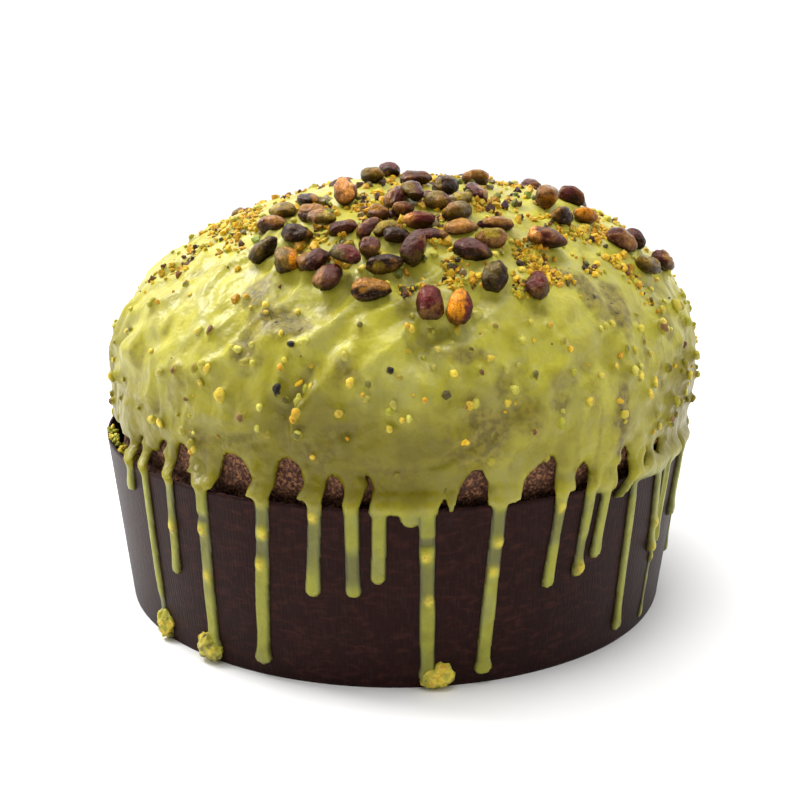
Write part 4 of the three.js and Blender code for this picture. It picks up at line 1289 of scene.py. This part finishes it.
class PANETTONE_OT_kernels(Operator):
    """Whole pistachio kernels: wrinkled, seamed and blunt at one end, in the skins that each has"""

    bl_idname = "panettone.kernels"
    bl_label = "Whole kernels"

    def execute(self, context):
        settings = context.scene.panettone_kernels
        slots = {part["node"]: part["material_slot"] for part in frame["record"]["subparts"]}
        finishes = {}
        for (node, *place), colours in zip(KERNEL_PLACES, KERNEL_COLOURS):
            slot = slots[node]
            if slot not in finishes:
                finishes[slot] = kernel_finish(slot)
            number = int(node.split("_")[1])
            self.kernel(settings, f"kernel_{number:02d}", place, colours, slot, finishes[slot], [node])
        for name, *place, look in loose_places():
            slot = LOOK_SLOTS[look]
            self.kernel(settings, f"kernel_{name}", place, LOOKS[look], slot, finishes[slot], [])
        return {"FINISHED"}

    def kernel(self, settings, name, place, colours, slot, finish, stands_for):
        """Ellipsoid along its long axis, squarer than an ellipse, narrower at one end, with a seam down one
        side and wrinkles that run along it."""
        centre, axes, half = place
        seed = sum(ord(letter) * (n + 3) for n, letter in enumerate(name))
        rng = np.random.default_rng(seed)
        shares = np.linspace(0.03, 0.97, 40)
        theta, share, triangles = rings([(0, 1)] + [(share, 48) for share in shares] + [(1, 1)])
        polar = share * math.pi
        along = np.cos(polar)
        girth = np.sin(polar) ** (0.92 + 0.2 * along + 0.1 * rng.random())
        taper = 1 - 0.12 * along
        squareness = 1 + 0.06 * np.cos(2 * theta + rng.uniform(0, 3))
        squareness = squareness + 0.07 * np.cos(3 * theta + rng.uniform(0, 6))
        bend = rng.uniform(-0.07, 0.07) * (1 - along**2)
        thick = girth * taper * squareness
        round_it = np.stack([along, thick * np.cos(theta) + bend, thick * np.sin(theta)], -1)
        local = round_it * half
        outward = unit(round_it / half)
        stretched = np.stack([local[:, 0] * 0.28, local[:, 1], local[:, 2]], -1) + seed % 97
        creases = 1 - 2.2 * np.abs(ripple(stretched, 1.7, 81)) ** 0.7
        knobs = roughened(local + seed % 89, 3.4, 2, 83)
        seam_angle = rng.uniform(0, TURN)
        seam = np.exp(-((wrapped(theta - seam_angle) / 0.22) ** 2)) * np.sin(polar) ** 0.5
        depth = settings.wrinkles / MM * (0.55 * creases + 0.9 * knobs)
        depth = depth - settings.seam / MM * seam * rng.random()
        local = local + outward * (depth - 0.12)[:, None]
        points = centre + local @ axes
        normals = outward @ axes
        first, second, side = colours
        towards = unit(np.array(SIDES[side], float))
        facing = normals @ towards * 0.75 + (points - centre) @ towards / half[0] * 0.5
        blend = eased(facing + 0.42 * roughened(local + seed % 53, 3.2, 3, 85), 0.1, 0.5)[:, None]
        tone = 1 + 0.3 * roughened(local + seed % 61, 2.2, 2, 87)[:, None]
        streaks = ripple(stretched * [0.6, 1.6, 1.6], 1.2, 91)
        # Lighter tan on ridges, knobs and streaks: partly rubbed skin, partly painted highlight.
        rub_and_highlight = eased(knobs + 0.5 * creases + 0.5 * streaks, 0.6, 1.2)[:, None] * 0.45
        skin = np.array(first) * (1 - blend) + np.array(second) * blend
        skin = skin * (1 - rub_and_highlight) + np.array(TAN) * 1.3 * rub_and_highlight
        # Painted shade and light: darker where the skin faces down, lighter on the knobs.
        below = 0.15 + 1.05 * eased(normals[:, 2:] + 0.4 * knobs[:, None], -0.5, 0.9)
        skin = np.clip(skin * WARMTH * tone * below * rng.uniform(0.9, 1.25), 0, 1)
        marks = {"skin": np.concatenate([skin, np.ones((len(skin), 1))], 1)}
        new_piece(name, points, triangles, slot, finish, stands_for, marks)


# Heaps of chopped kernel on the dome: [x, y, half spread along x, along y, count, share of dark grains].
HEAPS = [
    [-50, -10, 4, 13, 70, 0.12], [-52, -30, 6, 14, 140, 0.15], [-62, -22, 4, 14, 60, 0.3],
    [-70, -35, 6, 7, 70, 0.4], [-80, -30, 4, 9, 20, 0.25], [-25, -36, 3, 9, 34, 0.15],
    [-10, -40, 4, 9, 100, 0.2], [-24, -60, 4, 5, 40, 0.25], [-17, -70, 3, 4, 60, 0.45],
    [12, -70, 2, 2, 36, 0.05], [17, -80, 3, 4, 80, 0.2], [4, -86, 3, 2, 32, 0.25],
    [24, -83, 2, 2, 16, 0.5], [0, -50, 4, 20, 30, 0.3], [30, -44, 5, 8, 50, 0.2],
    [40, -30, 4, 6, 16, 0.2], [56, -45, 10, 5, 130, 0.12], [70, -32, 7, 10, 80, 0.1],
    [42, -67, 5, 5, 150, 0.15], [46, -72, 6, 4, 110, 0.15], [37, -81, 2, 3, 34, 0.25],
    [72, -52, 6, 3, 44, 0.2], [80, -54, 4, 3, 22, 0.3], [62, -62, 5, 4, 20, 0.4],
    [12, -55, 5, 10, 50, 0.25], [0, -4, 10, 7, 50, 0.2], [24, -6, 10, 8, 40, 0.2],
    [42, -6, 7, 12, 50, 0.25], [-4, -13, 5, 4, 25, 0.2], [8, 44, 26, 20, 170, 0.25],
    [-36, 30, 20, 18, 110, 0.25], [52, 44, 18, 18, 130, 0.25], [-60, 4, 12, 14, 50, 0.2],
    [80, 4, 10, 16, 70, 0.25], [-10, 74, 26, 12, 90, 0.25],
]
AMBER = (0.6, 0.31, 0.014)
BROWN = (0.13, 0.055, 0.016)
PALE = (0.6, 0.56, 0.1)
GRAIN_COLOURS = np.array([
    GOLD, GOLD, (0.66, 0.46, 0.03), GOLD, AMBER, (0.6, 0.42, 0.03), (0.5, 0.44, 0.03), AMBER,
])
DARK_COLOURS = np.array([(0.04, 0.018, 0.008), BROWN, BROWN, (0.22, 0.09, 0.02), (0.1, 0.08, 0.02)])
COATING = np.array([0.4, 0.36, 0.03])
GRAIN_GOLD = (0.7, 0.5, 0.05)
PIECE_COLOURS = np.array([
    GRAIN_GOLD, GRAIN_GOLD, AMBER, GRAIN_GOLD, AMBER, PALE, PALE, (0.36, 0.36, 0.03), BROWN, (0.2, 0.1, 0.03),
    (0.09, 0.09, 0.03), NIGHT,
])
BROKEN_COLOURS = np.array([PLUM, TAN, GOLD, LEAF, AMBER, OLIVE, GOLD, EMBER])
RIM_CRUMB_COLOURS = np.array([(0.5, 0.5, 0.05), (0.66, 0.52, 0.05), (0.36, 0.38, 0.04)])


class PANETTONE_OT_chopped(Operator):
    """Chopped kernels strewn over the glaze, in heaps and singly, and crumbs caught at the rim"""

    bl_idname = "panettone.chopped"
    bl_label = "Chopped kernels"

    def execute(self, context):
        rng = np.random.default_rng(7)
        parts = [self.heaped(rng), self.strays(rng), self.broken(rng)]
        theta, path, size, colour = (np.concatenate(part) for part in zip(*parts))
        points = glaze_skin(context.scene.panettone_glaze, theta, path)
        normals = backing_normal(theta, path)
        self.grains("chopped_kernels", rng, points + normals * (size * 0.12)[:, None], size, colour)
        self.rim_crumbs(rng)
        self.lumps(context.scene.panettone_glaze, rng)
        return {"FINISHED"}

    def coloured(self, rng, dark):
        """A colour for each grain: a dark one where dark is true."""
        pale = GRAIN_COLOURS[rng.integers(0, len(GRAIN_COLOURS), len(dark))]
        deep = DARK_COLOURS[rng.integers(0, len(DARK_COLOURS), len(dark))]
        return np.where(dark[:, None], deep, pale) * rng.uniform(0.75, 1.1, (len(dark), 1))

    def heaped(self, rng):
        """Grains of every heap: places spread normally round its middle."""
        x, y, wide, deep, count, dark = np.array(HEAPS).T
        owner = np.repeat(np.arange(len(HEAPS)), count.astype(int))
        spread = rng.normal(0, 0.55, (len(owner), 2))
        theta, path = dome_spot(x[owner] + spread[:, 0] * wide[owner], y[owner] + spread[:, 1] * deep[owner])
        size = rng.uniform(1.0, 1.7, len(owner))
        size = size * rng.choice([0.7, 1.0, 1.55], len(owner), p=[0.25, 0.45, 0.3])
        return theta, path, size, self.coloured(rng, rng.random(len(owner)) < 0.8 * dark[owner])

    def strays(self, rng):
        """Grains that lie singly, fewer towards the edge of the coat."""
        count = 240
        theta = rng.uniform(-math.pi, math.pi, count)
        path = 10 + (DOME_LENGTH + 4) * rng.beta(2, 1.6, count)
        size = rng.choice([0.7, 1.3, 2], count, p=[0.4, 0.35, 0.25]) * rng.uniform(0.85, 1.15, count)
        return theta, path, size, self.coloured(rng, rng.random(count) < 0.28)

    def broken(self, rng):
        """Broken kernels that fill the spaces between the whole ones."""
        count = 190
        theta, path = dome_spot(rng.normal(6, 24, count), rng.normal(-38, 20, count))
        colour = BROKEN_COLOURS[rng.integers(0, len(BROKEN_COLOURS), count)]
        return theta, path, rng.uniform(1.8, 3.8, count), colour * rng.uniform(0.6, 1, (count, 1))

    def lumps(self, settings, rng):
        """The broken nuts sunk in the coat: smooth lumpy balls, coated round their foot and bare on top."""
        theta, path, wide, tall = lump_places()
        centres = glaze_skin(settings, theta, path)
        outward = backing_normal(theta, path)
        across = np.stack([-np.sin(theta), np.cos(theta), 0 * theta], -1)
        axes = np.stack([across, np.cross(outward, across), outward], 1)
        ball, triangles = unit_ball(np.linspace(0.08, 0.92, 11), 14)
        count = len(theta)
        sizes = np.stack([wide, tall, np.minimum(wide, tall) * 0.8], 1) / 2 * 0.96
        points = ball[None] * sizes[:, None]
        own_noise = roughened(points + np.arange(count)[:, None, None] * 9.3, 1.7, 2, 97)
        points = points * (1 + 0.34 * own_noise)[..., None]
        looks = PIECE_COLOURS[rng.integers(0, len(PIECE_COLOURS), count)][:, None]
        worn = ball[None, :, 2] + 0.5 * roughened(points + 50, 1.3, 2, 98)
        bare = eased(worn, 0.0, 0.6)[..., None] * rng.choice([0.4, 0.75, 1.0], (count, 1, 1))
        shades = 1 + 0.3 * ripple(points + 70, 1.2, 99)[..., None]
        skin = COATING * (1 - bare) + looks * shades * bare
        skin = np.concatenate([np.clip(skin, 0, 1), np.ones((*skin.shape[:2], 1))], -1)
        sunk = centres - outward * 0.12 * wide[:, None]
        points = np.einsum("nij,njk->nik", points, axes) + sunk[:, None]
        marks = {"skin": skin.reshape(-1, 4)}
        new_piece("sunk_nuts", *copies(points, triangles), "kernel_gold", chopped_finish(), marks=marks)

    def rim_crumbs(self, rng):
        """Crumbs in the gap between the loaf and the rim."""
        count = 46
        theta = np.radians(rng.uniform(-168, -146, count))
        radius = rng.uniform(RIM_RADIUS - 3.2, RIM_RADIUS - 0.6, count)
        z = rng.uniform(RIM_HEIGHT - 0.8, RIM_HEIGHT + 1.4, count)
        size = rng.uniform(1.2, 2.2, count)
        colour = RIM_CRUMB_COLOURS[rng.integers(0, len(RIM_CRUMB_COLOURS), count)]
        self.grains("rim_crumbs", rng, round_axis(radius, theta, z), size, colour)

    def grains(self, name, rng, centres, size, colour):
        """All grains as one mesh: each is a small faceted ball, squashed and knocked out of round."""
        ball, triangles = unit_ball([0.25, 0.5, 0.75], 5)
        count = len(centres)
        knocked = ball[None] * rng.uniform(0.62, 1.25, (count, len(ball), 1))
        knocked = knocked * (size[:, None, None] * rng.uniform(0.6, 1.15, (count, 1, 3)) / 2 * 1.25)
        turn = np.linalg.qr(rng.normal(size=(count, 3, 3)))[0]
        turn = turn * np.sign(np.linalg.det(turn))[:, None, None]
        points = np.einsum("nij,nkj->nki", turn, knocked) + centres[:, None]
        marks = {"skin": np.repeat(np.concatenate([colour, np.ones((count, 1))], 1), len(ball), axis=0)}
        piece = new_piece(name, *copies(points, triangles), "kernel_gold", chopped_finish(), marks=marks)
        piece.data.polygons.foreach_set("use_smooth", np.zeros(len(piece.data.polygons), bool))


CAMERA_ASIDE = 1.5  # how far the camera stands towards +X
AIM = (0, 0, 0.08)  # what the lights face, in metres
KEY_SIZE, KEY_PLACE = 0.4, (-0.62, 0.24, 0.86)
TOP_SIZE, TOP_PLACE = 0.45, (0, -0.1, 1.1)
FLOOR_REACH = 40


class PANETTONE_OT_stage(Operator):
    """Camera, soft lights, white surroundings and a flat pale floor"""

    bl_idname = "panettone.stage"
    bl_label = "Stage"

    def execute(self, context):
        settings = context.scene.panettone_stage
        self.camera(context, settings)
        self.light("key_light", settings.key, KEY_SIZE, KEY_PLACE)
        self.light("top_light", settings.top, TOP_SIZE, TOP_PLACE)
        context.scene.world = self.surroundings(settings)
        context.scene.view_settings.view_transform = "Standard"
        self.floor(settings)
        return {"FINISHED"}

    def surroundings(self, settings):
        """White all round at eye level and behind, and dark above the camera: the front stays in shade."""
        world = bpy.data.worlds.new("surroundings")
        world.use_nodes = True
        nodes = Nodes(world.node_tree)
        direction = nodes.node("ShaderNodeTexCoord")
        forward = nodes.node("ShaderNodeSeparateXYZ", sockets={0: direction}, output=1)
        upward = nodes.node("ShaderNodeSeparateXYZ", sockets={0: direction}, output=2)
        dark = (forward * -1).within(-0.1, 0.75) * upward.within(0.08, 0.2)
        strength = dark * (settings.before - settings.behind) + settings.behind
        background = nodes.node("ShaderNodeBackground", sockets={"Color": (1, 1, 1, 1), "Strength": strength})
        end = nodes.tree.nodes.new("ShaderNodeOutputWorld")
        nodes.tree.links.new(background.socket, end.inputs["Surface"])
        return world

    def camera(self, context, settings):
        """Camera in front, looking down at the object's middle."""
        data = bpy.data.cameras.new("camera")
        data.lens = settings.lens
        data.clip_start = 0.01
        camera = bpy.data.objects.new("camera", data)
        camera.location = (CAMERA_ASIDE * MM, -settings.distance, settings.height)
        camera.rotation_euler = (math.pi / 2 - settings.pitch, 0, 0)
        context.scene.collection.objects.link(camera)
        context.scene.camera = camera

    def light(self, name, power, size, place):
        """Square area light that faces the middle of the object."""
        data = bpy.data.lights.new(name, "AREA")
        data.energy = power
        data.size = size
        light = bpy.data.objects.new(name, data)
        light.location = place
        light.rotation_euler = (Vector(AIM) - Vector(place)).to_track_quat("-Z", "Y").to_euler()
        bpy.context.scene.collection.objects.link(light)

    def floor(self, settings):
        """Flat floor that reaches far enough to meet the white surroundings."""
        mesh = bpy.data.meshes.new("floor")
        signs = [(-1, -1), (1, -1), (1, 1), (-1, 1)]
        mesh.from_pydata([(x * FLOOR_REACH, y * FLOOR_REACH, 0) for x, y in signs], [], [(0, 1, 2, 3)])
        mesh.materials.append(floor_finish(settings))
        floor = bpy.data.objects.new("floor", mesh)
        bpy.context.scene.collection.objects.link(floor)


class PANETTONE_PT_panel(Panel):
    """Buttons that build the panettone piece by piece"""

    bl_idname = "PANETTONE_PT_panel"
    bl_label = "Glazed panettone"
    bl_space_type = "VIEW_3D"
    bl_region_type = "UI"
    bl_category = "Panettone"

    def draw(self, context):
        for operator in OPERATORS:
            self.layout.operator(operator.bl_idname)
        for group in GROUPS:
            settings = getattr(context.scene, group)
            box = self.layout.box()
            for name in settings.__annotations__:
                box.prop(settings, name)


OPERATORS = [
    PANETTONE_OT_stage, PANETTONE_OT_mould, PANETTONE_OT_loaf, PANETTONE_OT_glaze, PANETTONE_OT_kernels,
    PANETTONE_OT_chopped,
]
GROUPS = {
    "panettone_glaze": GlazeSettings,
    "panettone_paper": PaperSettings,
    "panettone_loaf": LoafSettings,
    "panettone_kernels": KernelSettings,
    "panettone_stage": StageSettings,
}


def register():
    """Registers the settings, the operators and the panel."""
    for name, group in GROUPS.items():
        bpy.utils.register_class(group)
        setattr(bpy.types.Scene, name, PointerProperty(type=group))
    for cls in [*OPERATORS, PANETTONE_PT_panel]:
        bpy.utils.register_class(cls)


def unregister():
    """Takes away what register added."""
    for cls in [PANETTONE_PT_panel, *reversed(OPERATORS)]:
        bpy.utils.unregister_class(cls)
    for name, group in GROUPS.items():
        delattr(bpy.types.Scene, name)
        bpy.utils.unregister_class(group)


def main():
    """Builds everything."""
    register()
    bpy.ops.panettone.stage()
    bpy.ops.panettone.mould()
    bpy.ops.panettone.loaf()
    bpy.ops.panettone.glaze()
    bpy.ops.panettone.kernels()
    bpy.ops.panettone.chopped()


if __name__ == "__main__":
    main()
